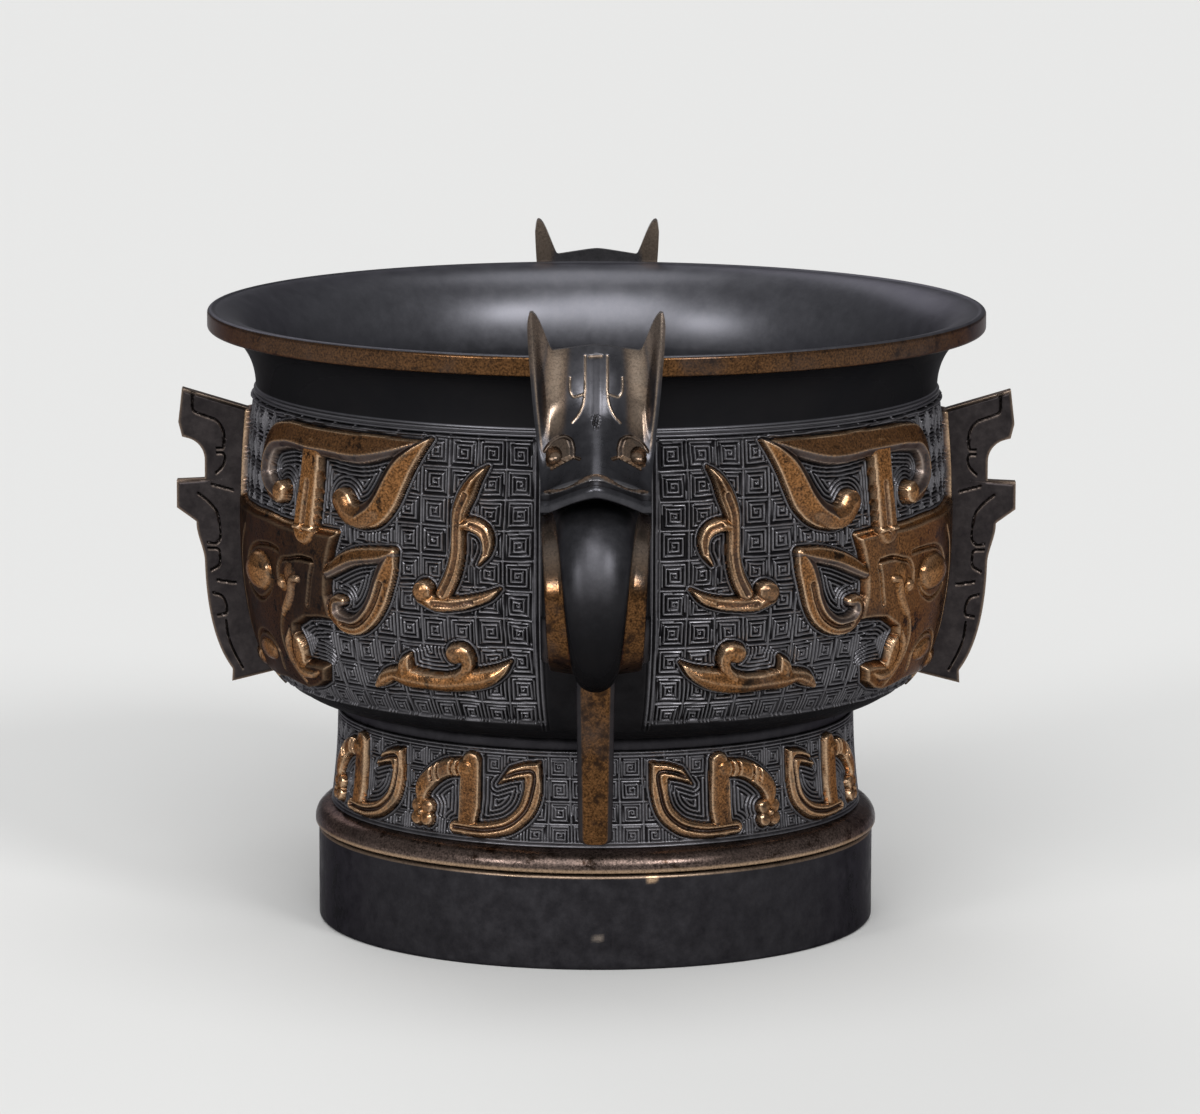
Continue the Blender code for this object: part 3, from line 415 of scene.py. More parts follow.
class Skin:
    """A closed piece gathered as points, faces with UV places of their own, and numbers for each point."""

    def __init__(self):
        self.points = []
        # gilt marks gilding, groove darkens hollows and also paints shade, and the wear numbers lighten edges
        # and also paint highlights
        self.tags = {"gilt": [], "groove": [], "worn": []}
        self.faces = []
        self.places = []
        self.count = 0

    def add(self, grid, gilt=0.0, groove=0.0, worn=0.0):
        """Takes in a grid of points in millimetres and returns their numbers in the same grid."""
        grid = np.asarray(grid, float)
        shape = grid.shape[:-1]
        self.points.append(grid.reshape(-1, 3))
        for name, values in (("gilt", gilt), ("groove", groove), ("worn", worn)):
            self.tags[name].append(np.broadcast_to(values, shape).ravel())
        index = self.count + np.arange(math.prod(shape)).reshape(shape)
        self.count += index.size
        return index

    def face(self, corners, places, flip):
        """Faces with the same number of corners each, and the UV place of each corner."""
        self.faces.append(corners[:, ::-1] if flip else corners)
        self.places.append(places[:, ::-1] if flip else places)

    def sheet(self, index, box, flip=False):
        """Quads over a grid of point numbers, laid flat in a UV box of low and high corner."""
        rows, columns = index.shape
        u, v = np.meshgrid(np.linspace(box[0], box[2], columns), np.linspace(box[3], box[1], rows))
        places = layer_corners(np.stack([u, v], axis=-1))
        self.face(layer_corners(index).reshape(-1, 4), places.reshape(-1, 4, 2), flip)

    def cap(self, ring, box, flip=False):
        """One face over a ring of points, laid in a UV box as an oval."""
        turn = np.linspace(0.0, 2 * math.pi, len(ring), endpoint=False)
        u = mix(box[0], box[2], 0.5 + 0.5 * np.cos(turn))
        v = mix(box[1], box[3], 0.5 + 0.5 * np.sin(turn))
        self.face(ring[None, :], np.stack([u, v], axis=-1)[None], flip)

    def wall(self, fine, coarse, picks, box, flip=False):
        """Faces from a fine row of points to a coarse row whose points stand at some of its places."""
        v = np.linspace(box[1], box[3], len(fine))
        for k in range(len(picks) - 1):
            run = slice(picks[k], picks[k + 1] + 1)
            corners = np.concatenate([fine[run], [coarse[k + 1], coarse[k]]])
            u = np.concatenate([np.full(len(fine[run]), box[0]), [box[2], box[2]]])
            height = np.concatenate([v[run], [v[picks[k + 1]], v[picks[k]]]])
            self.face(corners[None, :], np.stack([u, height], axis=-1)[None], flip)

    def mesh(self, name, sharp):
        """The mesh of all this, with edges over an angle in degrees left sharp."""
        made = bpy.data.meshes.new(name)
        points = np.concatenate(self.points) * MM
        corners = np.concatenate([part.ravel() for part in self.faces]).astype(np.int32)
        sizes = np.concatenate([np.full(len(part), part.shape[1]) for part in self.faces])
        starts = np.concatenate([[0], np.cumsum(sizes)[:-1]]).astype(np.int32)
        made.vertices.add(len(points))
        made.vertices.foreach_set("co", points.astype(np.float32).ravel())
        made.loops.add(len(corners))
        made.loops.foreach_set("vertex_index", corners)
        made.polygons.add(len(starts))
        made.polygons.foreach_set("loop_start", starts)
        made.update(calc_edges=True)
        made.shade_smooth()
        made.set_sharp_from_angle(angle=math.radians(sharp))
        layer = made.uv_layers.new(name="OFBake")
        places = np.concatenate([part.ravel() for part in self.places])
        layer.data.foreach_set("uv", places.astype(np.float32))
        for tag, values in self.tags.items():
            numbers = made.attributes.new(tag, "FLOAT", "POINT")
            numbers.data.foreach_set("value", np.concatenate(values).astype(np.float32))
        return made


def layer_corners(grid):
    """The four corners of each cell of a grid, going round."""
    return np.stack([grid[:-1, :-1], grid[1:, :-1], grid[1:, 1:], grid[:-1, 1:]], axis=2)


def in_scene(name, data):
    """A new object in the scene."""
    made = bpy.data.objects.new(name, data)
    bpy.context.scene.collection.objects.link(made)
    return made


def shown(name, mesh, material, slot, *nodes):
    """Puts a mesh in the scene as a piece that stands for some nodes of the frame."""
    piece = in_scene(name, mesh)
    mesh.materials.append(material)
    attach(piece, "root")
    if nodes:
        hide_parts(*nodes)


def every(count, stride):
    """Numbers from 0 to the last, a stride apart, with the last one always in."""
    return np.array([*range(0, count - 1, stride), count - 1])


# UV boxes of a tile: its front, its back, and its four walls in strips
TILE_FRONT = (0.0, 0.0, 0.94, 1.0)
TILE_BACK = (0.945, 0.0, 0.965, 1.0)
WALL_STRIPS = [(0.97 + 0.0075 * k, 0.0, 0.975 + 0.0075 * k, 1.0) for k in range(4)]

# UV boxes of a turned piece and of a flange, and the upright strips that the parts of a handle take
TURNED_SIDE = (0.0, 0.0, 0.98, 1.0)
TURNED_CAPS = ((0.985, 0.0, 1.0, 0.02), (0.985, 0.04, 1.0, 0.06))
HEAD_STRIP = (0.0, 0.6)
LOOP_STRIP = (0.62, 0.82)
TAB_STRIP = (0.84, 0.98)
FLANGE_SIDES = ((0.0, 0.0, 0.45, 1.0), (0.46, 0.0, 0.91, 1.0))
FLANGE_BORDERS = [(left, 0.0, left + 0.01, 1.0) for left in (0.92, 0.94, 0.96, 0.98)]


def part_box(box, left, right):
    """A UV box squeezed into an upright strip of the square."""
    return (mix(left, right, box[0]), box[1], mix(left, right, box[2]), box[3])


def tile(skin, front, back, flip, tags, left=0.0, right=1.0, stride=BACK_STRIDE, back_tags=None):
    """A closed tile: a fine front grid, a coarse back under it, and walls between their borders."""
    rows, columns = front.shape[:2]
    row_picks = every(rows, stride)
    column_picks = every(columns, stride)
    picks = np.ix_(row_picks, column_picks)
    fine = skin.add(front, **tags)
    coarse = skin.add(back[picks], **{tag: values[picks] for tag, values in (back_tags or {}).items()})
    skin.sheet(fine, part_box(TILE_FRONT, left, right), flip)
    skin.sheet(coarse, part_box(TILE_BACK, left, right), not flip)
    strips = [part_box(strip, left, right) for strip in WALL_STRIPS]
    skin.wall(fine[0], coarse[0], column_picks, strips[0], flip)
    skin.wall(fine[-1], coarse[-1], column_picks, strips[1], not flip)
    skin.wall(fine[:, 0], coarse[:, 0], row_picks, strips[2], not flip)
    skin.wall(fine[:, -1], coarse[:, -1], row_picks, strips[3], flip)
    return coarse.size


def ringed(skin, rings, box, cap_boxes, tags, flip=False):
    """A closed skin over rings of points, capped at both ends."""
    index = skin.add(rings, **tags)
    skin.sheet(np.concatenate([index, index[:, :1]], axis=1), box, flip)
    skin.cap(index[0], cap_boxes[0], flip)
    skin.cap(index[-1], cap_boxes[1], not flip)


def turned(name, profile, closed, finish, material, slot, node):
    """A solid of revolution from a dense (radius, height) profile, closed on itself or capped on its axis."""
    profile = np.array(profile)
    turn = np.linspace(0.0, 2 * math.pi, TURN_STEPS, endpoint=False)
    radius = profile[:, :1]
    height = np.repeat(profile[:, 1:], TURN_STEPS, axis=1)
    skin = Skin()
    points = np.stack([radius * np.cos(turn), radius * np.sin(turn), height], axis=-1)
    index = skin.add(points, **finish(radius, profile[:, 1:], turn))
    around = np.concatenate([index, index[:, :1]], axis=1)
    if closed:
        around = np.concatenate([around, around[:1]])
    skin.sheet(around, TURNED_SIDE, True)
    if not closed:
        skin.cap(index[0], TURNED_CAPS[0], False)
        skin.cap(index[-1], TURNED_CAPS[1], True)
    shown(name, skin.mesh(name, TURNED_SHARP), material, slot, node)


# Shapes of the vessel


def belly_radius(height):
    """Outer radius of the belly at a height above its base."""
    above = (height - BELLY_PEAK) / (BELLY_HEIGHT - BELLY_PEAK)
    upper = BELLY_RADIUS - (BELLY_RADIUS - NECK_RADIUS) * above**2
    drop = np.clip((BELLY_PEAK - height) / BELLY_PEAK, 0.0, 1.0)
    width = (1.0 - drop**BELLY_FULLNESS) ** (1.0 / BELLY_FULLNESS)
    return np.where(height >= BELLY_PEAK, upper, mix(SEAT_RADIUS, BELLY_RADIUS, width))


def bowl_outer(height):
    """Outer radius of the bowl at a height, lip and neck included."""
    rise = np.clip((height - NECK_JOINT) / (UNDER_LIP - NECK_JOINT), 0.0, 1.0)
    neck = NECK_RADIUS + (RIM_RADIUS - LIP_ROUND - NECK_RADIUS) * (1.0 - np.sqrt(1.0 - rise**2))
    belly = belly_radius(np.minimum(height - BOWL_BASE, BELLY_HEIGHT))
    return np.where(height >= UNDER_LIP, RIM_RADIUS, np.where(height >= NECK_JOINT, neck, belly))


def foot_radius(height):
    """Outer radius of the wall of the foot at a height."""
    share = (BAND_TOP - height) / (BAND_TOP - BAND_FOOT)
    return FOOT_RADIUS + FOOT_FLARE * share**2


class Profile:
    """A turned surface sampled evenly down its length, with the radius at which s is counted round it."""

    def __init__(self, radius, top, foot, reference):
        self.reference = reference
        self.heights = np.linspace(top, foot, PROFILE_SAMPLES)
        radii = radius(self.heights)
        steps = np.hypot(np.diff(self.heights), np.diff(radii))
        self.length = np.concatenate([[0.0], np.cumsum(steps)])
        rows = int(round(self.length[-1] / GRID)) + 1
        self.q = np.linspace(0.0, self.length[-1], rows)
        self.z = np.interp(self.q, self.length, self.heights)
        self.r = np.interp(self.q, self.length, radii)
        fall = np.gradient(self.z, self.q)
        swell = np.gradient(self.r, self.q)
        size = np.hypot(fall, swell)
        self.out_r = -fall / size
        self.out_z = swell / size

    def down(self, z):
        return float(np.interp(-z, -self.heights, self.length))


# Ornament of the belly: (s, z, half width) from the middle of a handle round to a flange

HORN = [
    (34.2, 108.2, 0.3), (37.0, 106.1, 1.4), (40.0, 102.8, 2.4), (42.2, 99.2, 2.9), (44.2, 95.8, 3.1),
    (47.0, 93.0, 2.9), (50.4, 91.8, 2.5),
]
HORN_CURL = [(46.8, 93.2, 2.2), (50.2, 91.8, 2.4), (53.4, 92.6, 2.6), (55.0, 94.4, 2.7)]
HORN_BAR = [
    (37.0, 107.4, 0.6), (42.0, 106.1, 2.0), (47.0, 105.3, 2.8), (62.0, 105.2, 2.9), (75.0, 105.0, 2.9),
    (80.6, 103.6, 2.9), (83.2, 100.2, 2.7), (83.2, 96.6, 2.5), (80.6, 94.0, 2.2), (77.5, 93.2, 1.9),
]
HORN_POST = [(64.6, 103.4, 3.0), (65.0, 97.0, 3.0), (65.8, 91.0, 3.1), (66.2, 87.4, 3.1)]
EAR_TOP = [(42.6, 85.2, 1.2), (47.0, 84.4, 1.8), (52.0, 83.2, 1.9), (56.0, 81.6, 1.8), (59.6, 79.6, 1.3)]
EAR_SIDE = [
    (42.8, 85.2, 1.2), (43.8, 82.5, 2.1), (45.0, 79.0, 2.4), (46.4, 75.2, 2.4), (48.8, 71.8, 2.3),
    (52.4, 69.8, 2.1), (56.0, 70.0, 1.9), (58.3, 72.0, 1.6), (57.8, 74.0, 1.3), (55.8, 74.2, 0.9),
]
FEATHER_STEM = [
    (22.2, 103.6, 0.2), (24.2, 101.4, 1.1), (26.0, 98.0, 1.7), (27.3, 94.5, 1.6), (27.6, 90.5, 1.4),
    (27.7, 86.0, 1.5), (28.8, 81.6, 1.6), (30.6, 78.0, 1.6),
]
FEATHER_BASE = [
    (18.7, 79.6, 0.2), (21.2, 77.8, 0.9), (24.5, 76.6, 1.2), (28.5, 76.0, 1.4), (32.5, 76.0, 1.6),
    (35.4, 77.4, 1.9),
]
FEATHER_HOOK = [
    (27.0, 91.8, 1.1), (24.6, 92.1, 1.5), (22.4, 91.2, 1.5), (21.3, 89.0, 1.2), (21.6, 86.6, 0.8),
    (23.3, 83.9, 0.2),
]
DRAGON_BODY = [
    (17.3, 64.8, 0.2), (19.6, 63.0, 1.2), (23.0, 61.6, 2.0), (27.0, 60.7, 2.2), (31.0, 60.0, 1.9),
    (36.0, 60.1, 1.9), (40.5, 60.4, 2.1), (43.5, 60.6, 1.4), (46.4, 59.6, 1.5), (48.8, 58.2, 0.7),
]
DRAGON_FIN = [(40.6, 61.0, 1.9), (40.4, 62.8, 1.5), (39.2, 64.9, 0.4)]
DRAGON_CREST = [(28.4, 61.2, 1.3), (26.6, 63.0, 1.2), (26.0, 65.0, 1.4), (27.2, 66.5, 1.9), (28.6, 66.2, 2.0)]
FACE = [
    (57.0, 87.5), (113.3, 88.3), (113.3, 53.5), (82.0, 54.6), (73.0, 53.8), (69.0, 54.6), (65.0, 56.5),
    (63.2, 60.0), (64.5, 60.4), (67.0, 60.5), (71.0, 60.0), (72.8, 61.8), (72.6, 64.5), (72.0, 66.8),
    (67.6, 69.0), (63.0, 69.6), (58.3, 69.8), (59.8, 75.0), (59.5, 80.0), (58.5, 84.0),
]
FACE_TOP_LINE = [(57.5, 87.6), (75.0, 87.8), (95.0, 87.9), (108.5, 88.0)]
FACE_GROOVES = [
    [(76.2, 68.3), (77.5, 65.0), (77.4, 62.0), (75.0, 58.0), (72.6, 55.7)],
    [(69.0, 81.4), (66.0, 81.4), (63.8, 81.2), (64.4, 77.8), (65.0, 75.0), (65.8, 72.5)],
    [(64.0, 81.4), (67.5, 81.6), (72.0, 80.8), (75.0, 80.0), (76.4, 78.2), (76.5, 76.0)],
    [(76.3, 81.8), (79.0, 82.0), (83.0, 81.9), (88.0, 81.4), (92.5, 79.6), (95.0, 77.2)],
    [(79.0, 75.6), (80.4, 73.4), (83.0, 71.8), (86.3, 70.7), (90.5, 71.0), (95.0, 72.6)],
    [(81.8, 57.2), (81.2, 60.4), (83.4, 62.8), (88.0, 63.8), (93.0, 62.8), (97.0, 60.4), (100.0, 57.2)],
    [(97.0, 84.0), (101.0, 80.0), (103.0, 74.0), (102.5, 67.0), (104.0, 61.0)],
]
BROW = [(68.5, 77.3, 0.8), (70.5, 76.9, 1.1), (71.5, 74.0, 1.2), (73.5, 71.2, 1.1), (75.5, 69.0, 0.6)]
FANG = [
    (66.0, 58.8, 0.3), (69.0, 57.8, 0.9), (72.2, 58.0, 1.2), (74.4, 60.2, 1.2), (75.0, 63.2, 1.0),
    (74.0, 66.2, 0.4),
]
HOLLOWED = (FEATHER_STEM[2:], FEATHER_HOOK[1:-1], FEATHER_BASE[2:5], EAR_SIDE[2:7], HORN_POST[1:])
# Knobs on the ground, as (s, z, half widths, rise), and on the face, which stand on its plate
GROUND_KNOBS = [(75.4, 94.0, 2.4, 2.3, 1.9), (35.0, 78.3, 2.3, 2.2, 1.9), (46.6, 59.6, 1.4, 1.3, 1.2)]
FACE_KNOBS = [
    (85.5, 76.6, 6.0, 4.0, 3.0), (88.0, 60.4, 5.6, 2.3, 1.4), (102.5, 56.6, 4.6, 2.0, 1.2),
    (71.6, 77.4, 2.6, 3.0, 1.0), (72.6, 61.4, 2.2, 4.0, 0.9), (74.7, 75.4, 2.3, 2.3, 0.6),
    (74.7, 75.4, 1.4, 1.4, 1.5),
]
NESTS = [
    (54.0, 97.5, 9.0, 6.4), (51.8, 77.5, 5.0, 5.6), (24.6, 87.4, 2.7, 4.0), (66.8, 62.8, 6.2, 5.0),
    (33.8, 64.2, 4.8, 2.9), (76.0, 99.0, 5.6, 4.6),
]
# Strokes on the ground, as (points, rise, gilding, shape of the top)
BELLY_STROKES = (
    (HORN, 1.9, 1.0, {"roof": 0.9, "lean": -0.35}),
    (HORN_CURL, 1.7, 0.8, {"roof": 0.25}),
    (HORN_BAR, 1.6, 0.7, {"roof": 0.9, "lean": 0.4}),
    (HORN_POST, 1.2, 1.0, {"flat": 0.7}),
    (EAR_TOP, 1.1, 0.9, {"roof": 0.9, "lean": 0.3}),
    (EAR_SIDE, 1.1, 0.9, {"roof": 0.9, "lean": -0.3}),
    (FEATHER_HOOK, 1.1, 0.9, {"roof": 0.9}),
    (FEATHER_STEM, 1.4, 1.0, {"roof": 0.9}),
    (FEATHER_BASE, 1.4, 1.0, {"roof": 0.9}),
    (DRAGON_BODY, 1.5, 1.0, {"roof": 0.6}),
    (DRAGON_FIN, 1.3, 1.0, {"roof": 0.4}),
    (DRAGON_CREST, 1.5, 1.0, {"roof": 0.2}),
)

# Cuts, levels and borders of the belly
FACE_STROKES = ((BROW, 1.3, 1.0), (FANG, 1.3, 0.9))
HOLLOW_CUT = {"half": 0.62, "depth": 0.75, "gilt": 0.45, "dark": 0.35}
FACE_CUT = {"half": 0.5, "depth": 0.6, "gilt": 0.9}
FACE_RIDGE = {"half": 0.55, "rise": 0.55}
KNOB_GILT = 0.95
PLAIN_STRIP = 10.8
PLAIN_STRIP_FLANK = 0.1
PLAIN_LEVEL = 0.6
PLAIN_FOOT_FLANK = 0.6
BORDER_FLANK = (0.12, 0.42)
BORDER_LINES = (11.1, 12.0)
BORDER_START = (BORDER_LINES[0] - 0.9, BORDER_LINES[0] - 0.5)
BORDER_END = (BORDER_LINES[1] + 0.2, BORDER_LINES[1] + 0.5)
BORDER_TOP = 0.55
BORDER_FOOT = 0.5
ORNAMENT_FOOT = 51.7
CELL = 5.95
GROUND_DEPTH = 0.5
FORM_STEP = 1.0
FACE_RISE = 1.5
FACE_BEVEL = 1.0
FACE_STEP = 1.1
FACE_DARK_AND_SHADE = 1.2
WAVER_ALONG = 0.30
WAVER_ALONG_SIZE = 26.0
WAVER_DOWN = 0.25
WAVER_DOWN_SIZE = 22.0
GROUND_START = (BORDER_LINES[1] + 0.4, 0.5)
FLANGE_RIB_HEIGHT = 1.8
FLANGE_RIB_HALF = 4.1
FLANGE_RIB_FLANK = (FLANGE_RIB_HALF - 0.5, FLANGE_RIB_HALF + 0.3)
FLANGE_RIB_ROUND = 0.3
FLANGE_RIB_TOP = BOWL_BASE + 58.8
RIB_GILT = 0.5
PLAIN_SHADE = 0.85
LOW_SHADE = 0.5
LOW_SHADE_START = 66.0


def belly_forms(profile, s, q, number):
    """The mask, the feather and the small dragon of one quarter of the belly, on their spiral ground."""
    seed = FIRST_SEED + SEED_STEP * number
    kept = MASK_GILDING_AND_SHADE[number]
    bend_s = WAVER_ALONG * wander(s, q, seed, WAVER_ALONG_SIZE)
    bend_q = WAVER_DOWN * wander(q, s, seed + SECOND_SEED, WAVER_DOWN_SIZE)
    field = Field(s + bend_s, q + bend_q, profile.down)
    # the mask's plate is dark brown, darkened further as painted shade where it keeps less gilding
    field.plate(FACE, FACE_RISE, FACE_BEVEL, kept, FACE_DARK_AND_SHADE - kept)
    for points, rise, gilt, shape in BELLY_STROKES:
        field.stroke(points, rise, gilt, FORM_STEP, **shape)
    for points in HOLLOWED:
        field.groove(middle_line(points), **HOLLOW_CUT)
    for knob in GROUND_KNOBS:
        field.knob(*knob, 1.0, FORM_STEP)
    for points, rise, gilt in FACE_STROKES:
        field.stroke(points, rise, gilt, FACE_STEP)
    for knob in FACE_KNOBS:
        field.knob(*knob, KNOB_GILT, FACE_STEP)
    for points in FACE_GROOVES:
        field.groove(points, **FACE_CUT)
    field.line(FACE_TOP_LINE, **FACE_RIDGE)
    for place in NESTS:
        field.nest(*place)
    field.ground(*GROUND_START, CELL, GROUND_DEPTH)
    return field


def belly_field(profile, s, q, number):
    """Height and finish of one quarter of the belly, with its border and half of a flange's rib."""
    field = belly_forms(profile, s, q, number)
    foot = profile.down(ORNAMENT_FOOT)
    ornament = ease(PLAIN_STRIP - PLAIN_STRIP_FLANK, PLAIN_STRIP + PLAIN_STRIP_FLANK, s)
    ornament = ornament * (1.0 - ease(foot, foot + PLAIN_FOOT_FLANK, q))
    height = field.height * ornament + GROUND_DEPTH * PLAIN_LEVEL * (1.0 - ornament)
    border = np.zeros(s.shape)
    for place in BORDER_LINES:
        border = np.maximum(border, raised_line(s, place, BORDER_FLANK))
    for place in (BORDER_TOP, foot - BORDER_FOOT):
        border = np.maximum(border, raised_line(q, place, BORDER_FLANK) * ornament)
    on_strip = ease(*BORDER_START, s)
    past_border = ease(*BORDER_END, s)
    height = height * np.maximum(1.0 - on_strip, past_border) + border * GROUND_DEPTH * on_strip

    from_flange = profile.reference * QUARTER - s
    top = profile.down(FLANGE_RIB_TOP)
    rib = 1.0 - ease(*FLANGE_RIB_FLANK, from_flange)
    rib = rib * ease(top - FLANGE_RIB_ROUND, top + FLANGE_RIB_ROUND, q)
    height = mix(height, np.maximum(FLANGE_RIB_HEIGHT, height), rib)
    gilt = mix(field.gilt * ornament, RIB_GILT, rib)
    # painted shade: darker towards the foot of the belly, where it turns under
    low = LOW_SHADE * ease(profile.down(LOW_SHADE_START), foot, q)
    groove = np.maximum(np.clip(1.0 - height / GROUND_DEPTH, low, 1.0), field.dark * (1.0 - rib)) * ornament
    # painted shade: near-black on the plain strip beside the handle and below the ornament
    return height, gilt, np.maximum(groove, PLAIN_SHADE * (1.0 - ornament))


# Ornament of the foot: two dragons in each quarter

FOOT_DRAGON = [
    (12.8, 39.6, 1.8), (12.8, 35.0, 1.8), (14.0, 31.3, 1.8), (17.0, 28.5, 1.7), (21.0, 27.3, 1.6),
    (29.0, 27.2, 1.4),
]
FOOT_CORNER = [
    (11.0, 41.7), (14.6, 41.3), (17.6, 40.2), (20.2, 36.4), (17.4, 37.4), (14.6, 38.0), (14.6, 37.0),
    (11.0, 37.0),
]
FOOT_CHANNEL = [(18.0, 38.4), (15.4, 39.4), (12.9, 39.6)]
FOOT_NECK = [(25.6, 41.0, 1.9), (25.9, 36.0, 2.3), (26.0, 31.0, 2.3), (26.4, 27.6, 2.0)]
FOOT_HEAD = [(26.5, 39.3, 1.9), (31.0, 39.0, 1.9), (34.8, 37.0, 1.9), (37.3, 33.8, 1.7), (37.2, 31.8, 1.1)]
FOOT_RIBS = (28.5, 30.0, 33.5, 35.0)
FOOT_RIB = [(-0.5, 41.2), (0.0, 39.0), (-0.3, 37.2)]
FOOT_RIB_LEVEL = 30.0
FOOT_RIB_TILT = 0.2
FOOT_FLOWER = (37.0, 29.3)
FLOWER_LOBES = 4
FLOWER_REACH = 1.75
FLOWER_HEART_STEP = 0.3
# Knobs of the flower, as (half widths, rise, gilding)
FLOWER_LOBE = (1.6, 1.6, 0.9, 0.9)
FLOWER_HEART = (0.8, 0.8, 0.9, 1.0)
FOOT_NECK_SHAPE = {"rise": 0.7, "gilt": 0.8, "flat": 0.5}
FOOT_DRAGON_SHAPE = {"rise": 0.8, "gilt": 1.0, "flat": 0.5, "roof": 0.7}
FOOT_HEAD_SHAPE = {"rise": 1.0, "gilt": 1.0, "flat": 0.2}
FOOT_CHANNEL_CUT = {"half": 0.5, "depth": 0.85, "gilt": 0.2}
FOOT_RIB_CUT = {"half": 0.35, "depth": 0.7}
FOOT_NESTS = ((20.0, 33.6, 4.5, 4.6), (31.4, 32.4, 3.4, 4.0))

# Ground, levels and borders of the foot
DRAGON_PITCH = 31.8
FOOT_CELL = 4.6
FOOT_DEPTH = 0.42
FOOT_STEP = 0.45
FOOT_CORNER_RISE = 1.25
FOOT_CORNER_BEVEL = 0.6
FOOT_WAVER = 0.2
FOOT_WAVER_SIZE = 18.0
FOOT_GROUND_START = (4.9, 1.1)
FOOT_LINES_DOWN = (0.3, 1.05)
FOOT_LINES_UP = (0.9, 0.2)
FOOT_LINE_FLANK = (0.1, 0.36)
FOOT_LINE_CLEAR = (0.2, 0.5)


def shifted(points, along):
    return [(point[0] + along, *point[1:]) for point in points]


def foot_field(profile, s, q, number):
    """Height and finish of one quarter of the foot: two dragons on a spiral ground between border lines."""
    seed = FIRST_SEED + SEED_STEP * number
    field = Field(s + FOOT_WAVER * wander(s, q, seed, FOOT_WAVER_SIZE), q, profile.down)
    for along in (0.0, DRAGON_PITCH):
        field.stroke(shifted(FOOT_NECK, along), base=FOOT_STEP, **FOOT_NECK_SHAPE)
        field.stroke(shifted(FOOT_DRAGON, along), base=FOOT_STEP, **FOOT_DRAGON_SHAPE)
        field.plate(shifted(FOOT_CORNER, along), FOOT_CORNER_RISE, FOOT_CORNER_BEVEL, 1.0, 0.0)
        channel = FOOT_CHANNEL + middle_line(FOOT_DRAGON[1:])
        field.groove(shifted(channel, along), **FOOT_CHANNEL_CUT)
        field.stroke(shifted(FOOT_HEAD, along), base=FOOT_STEP, **FOOT_HEAD_SHAPE)
        for place in FOOT_RIBS:
            tilt = (place - FOOT_RIB_LEVEL) * FOOT_RIB_TILT
            rib = [(place + aside, level - tilt) for aside, level in FOOT_RIB]
            field.groove(shifted(rib, along), **FOOT_RIB_CUT)
        flower_s, flower_z = FOOT_FLOWER
        for lobe in range(FLOWER_LOBES):
            turn = QUARTER * (lobe + 0.5)
            lobe_s = flower_s + along + FLOWER_REACH * math.cos(turn)
            field.knob(lobe_s, flower_z + FLOWER_REACH * math.sin(turn), *FLOWER_LOBE, FOOT_STEP)
        field.knob(flower_s + along, flower_z, *FLOWER_HEART, FOOT_STEP + FLOWER_HEART_STEP)
        for nest in shifted(FOOT_NESTS, along):
            field.nest(*nest)
    field.ground(*FOOT_GROUND_START, FOOT_CELL, FOOT_DEPTH)
    border = np.zeros(s.shape)
    clear = np.ones(s.shape)
    for place in (*FOOT_LINES_DOWN, *(q[-1, 0] - up for up in FOOT_LINES_UP)):
        border = np.maximum(border, raised_line(q, place, FOOT_LINE_FLANK))
        clear = np.minimum(clear, 1.0 - raised_line(q, place, FOOT_LINE_CLEAR))
    height = np.where(field.edge < 0, field.height, field.height * clear + border * FOOT_DEPTH)
    return height, field.gilt, np.clip(1.0 - height / FOOT_DEPTH, 0.0, 1.0)


def quarter_tiles(name, profile, raise_field, splits, depth, material, slot):
    """Fine closed tiles over the four quarters of a turned surface."""
    columns = int(round(profile.reference * QUARTER / GRID)) + 1
    turn = np.linspace(0.0, QUARTER, columns)
    s, q = np.meshgrid(turn * profile.reference, profile.q)
    for number, (corner, start, sense) in enumerate(QUARTERS):
        height, gilt, groove = raise_field(profile, s, q, number)
        worn = rubbed_and_highlit(height)
        angle = start + sense * turn
        front = relief_points(profile, height, angle)
        back = relief_points(profile, np.full(s.shape, -depth), angle)
        normal = relief_normals(front, angle, sense)
        bounds = np.linspace(0, columns - 1, splits + 1).astype(int)
        for k in range(splits):
            part = (slice(None), slice(bounds[k], bounds[k + 1] + 1))
            piece_name = f"{name}_{corner}_{k + 1}"
            skin = Skin()
            tags = {"gilt": gilt[part], "groove": groove[part], "worn": worn[part]}
            extra = tile(skin, front[part], back[part], sense < 0, tags)
            mesh = skin.mesh(piece_name, TILE_SHARP)
            normals = np.concatenate([normal[part].reshape(-1, 3), np.zeros((extra, 3))])
            mesh.normals_split_custom_set_from_vertices(normals.tolist())
            shown(piece_name, mesh, material, slot)


def relief_points(profile, height, angle):
    """Points over a turned surface, each a height out from it."""
    out = profile.r[:, None] + height * profile.out_r[:, None]
    up = profile.z[:, None] + height * profile.out_z[:, None]
    return np.stack([out * np.cos(angle), out * np.sin(angle), up], axis=-1)


def relief_normals(front, angle, sense):
    """Outward directions over a grid of points, level across the borders that mirror images share."""
    normal = np.cross(np.gradient(front, axis=0), np.gradient(front, axis=1)) * sense
    for border in (0, -1):
        aside = np.array([-math.sin(angle[border]), math.cos(angle[border]), 0.0])
        normal[:, border] -= (normal[:, border] @ aside)[:, None] * aside
    return normal / np.linalg.norm(normal, axis=-1, keepdims=True)


# Materials


def nodes_of(name):
    made = bpy.data.materials.new(name)
    made.use_nodes = True
    return made, made.node_tree.nodes["Principled BSDF"]


def node_with(tree, kind, values, links):
    """A new node with some of its inputs set and others linked."""
    node = tree.nodes.new(kind)
    for port, value in values.items():
        node.inputs[port].default_value = value
    for port, source in links.items():
        tree.links.new(source, node.inputs[port])
    return node


def noise(tree, coords, scale, detail, ragged):
    values = {"Scale": scale, "Detail": detail, "Roughness": ragged}
    return node_with(tree, "ShaderNodeTexNoise", values, {"Vector": coords}).outputs["Fac"]


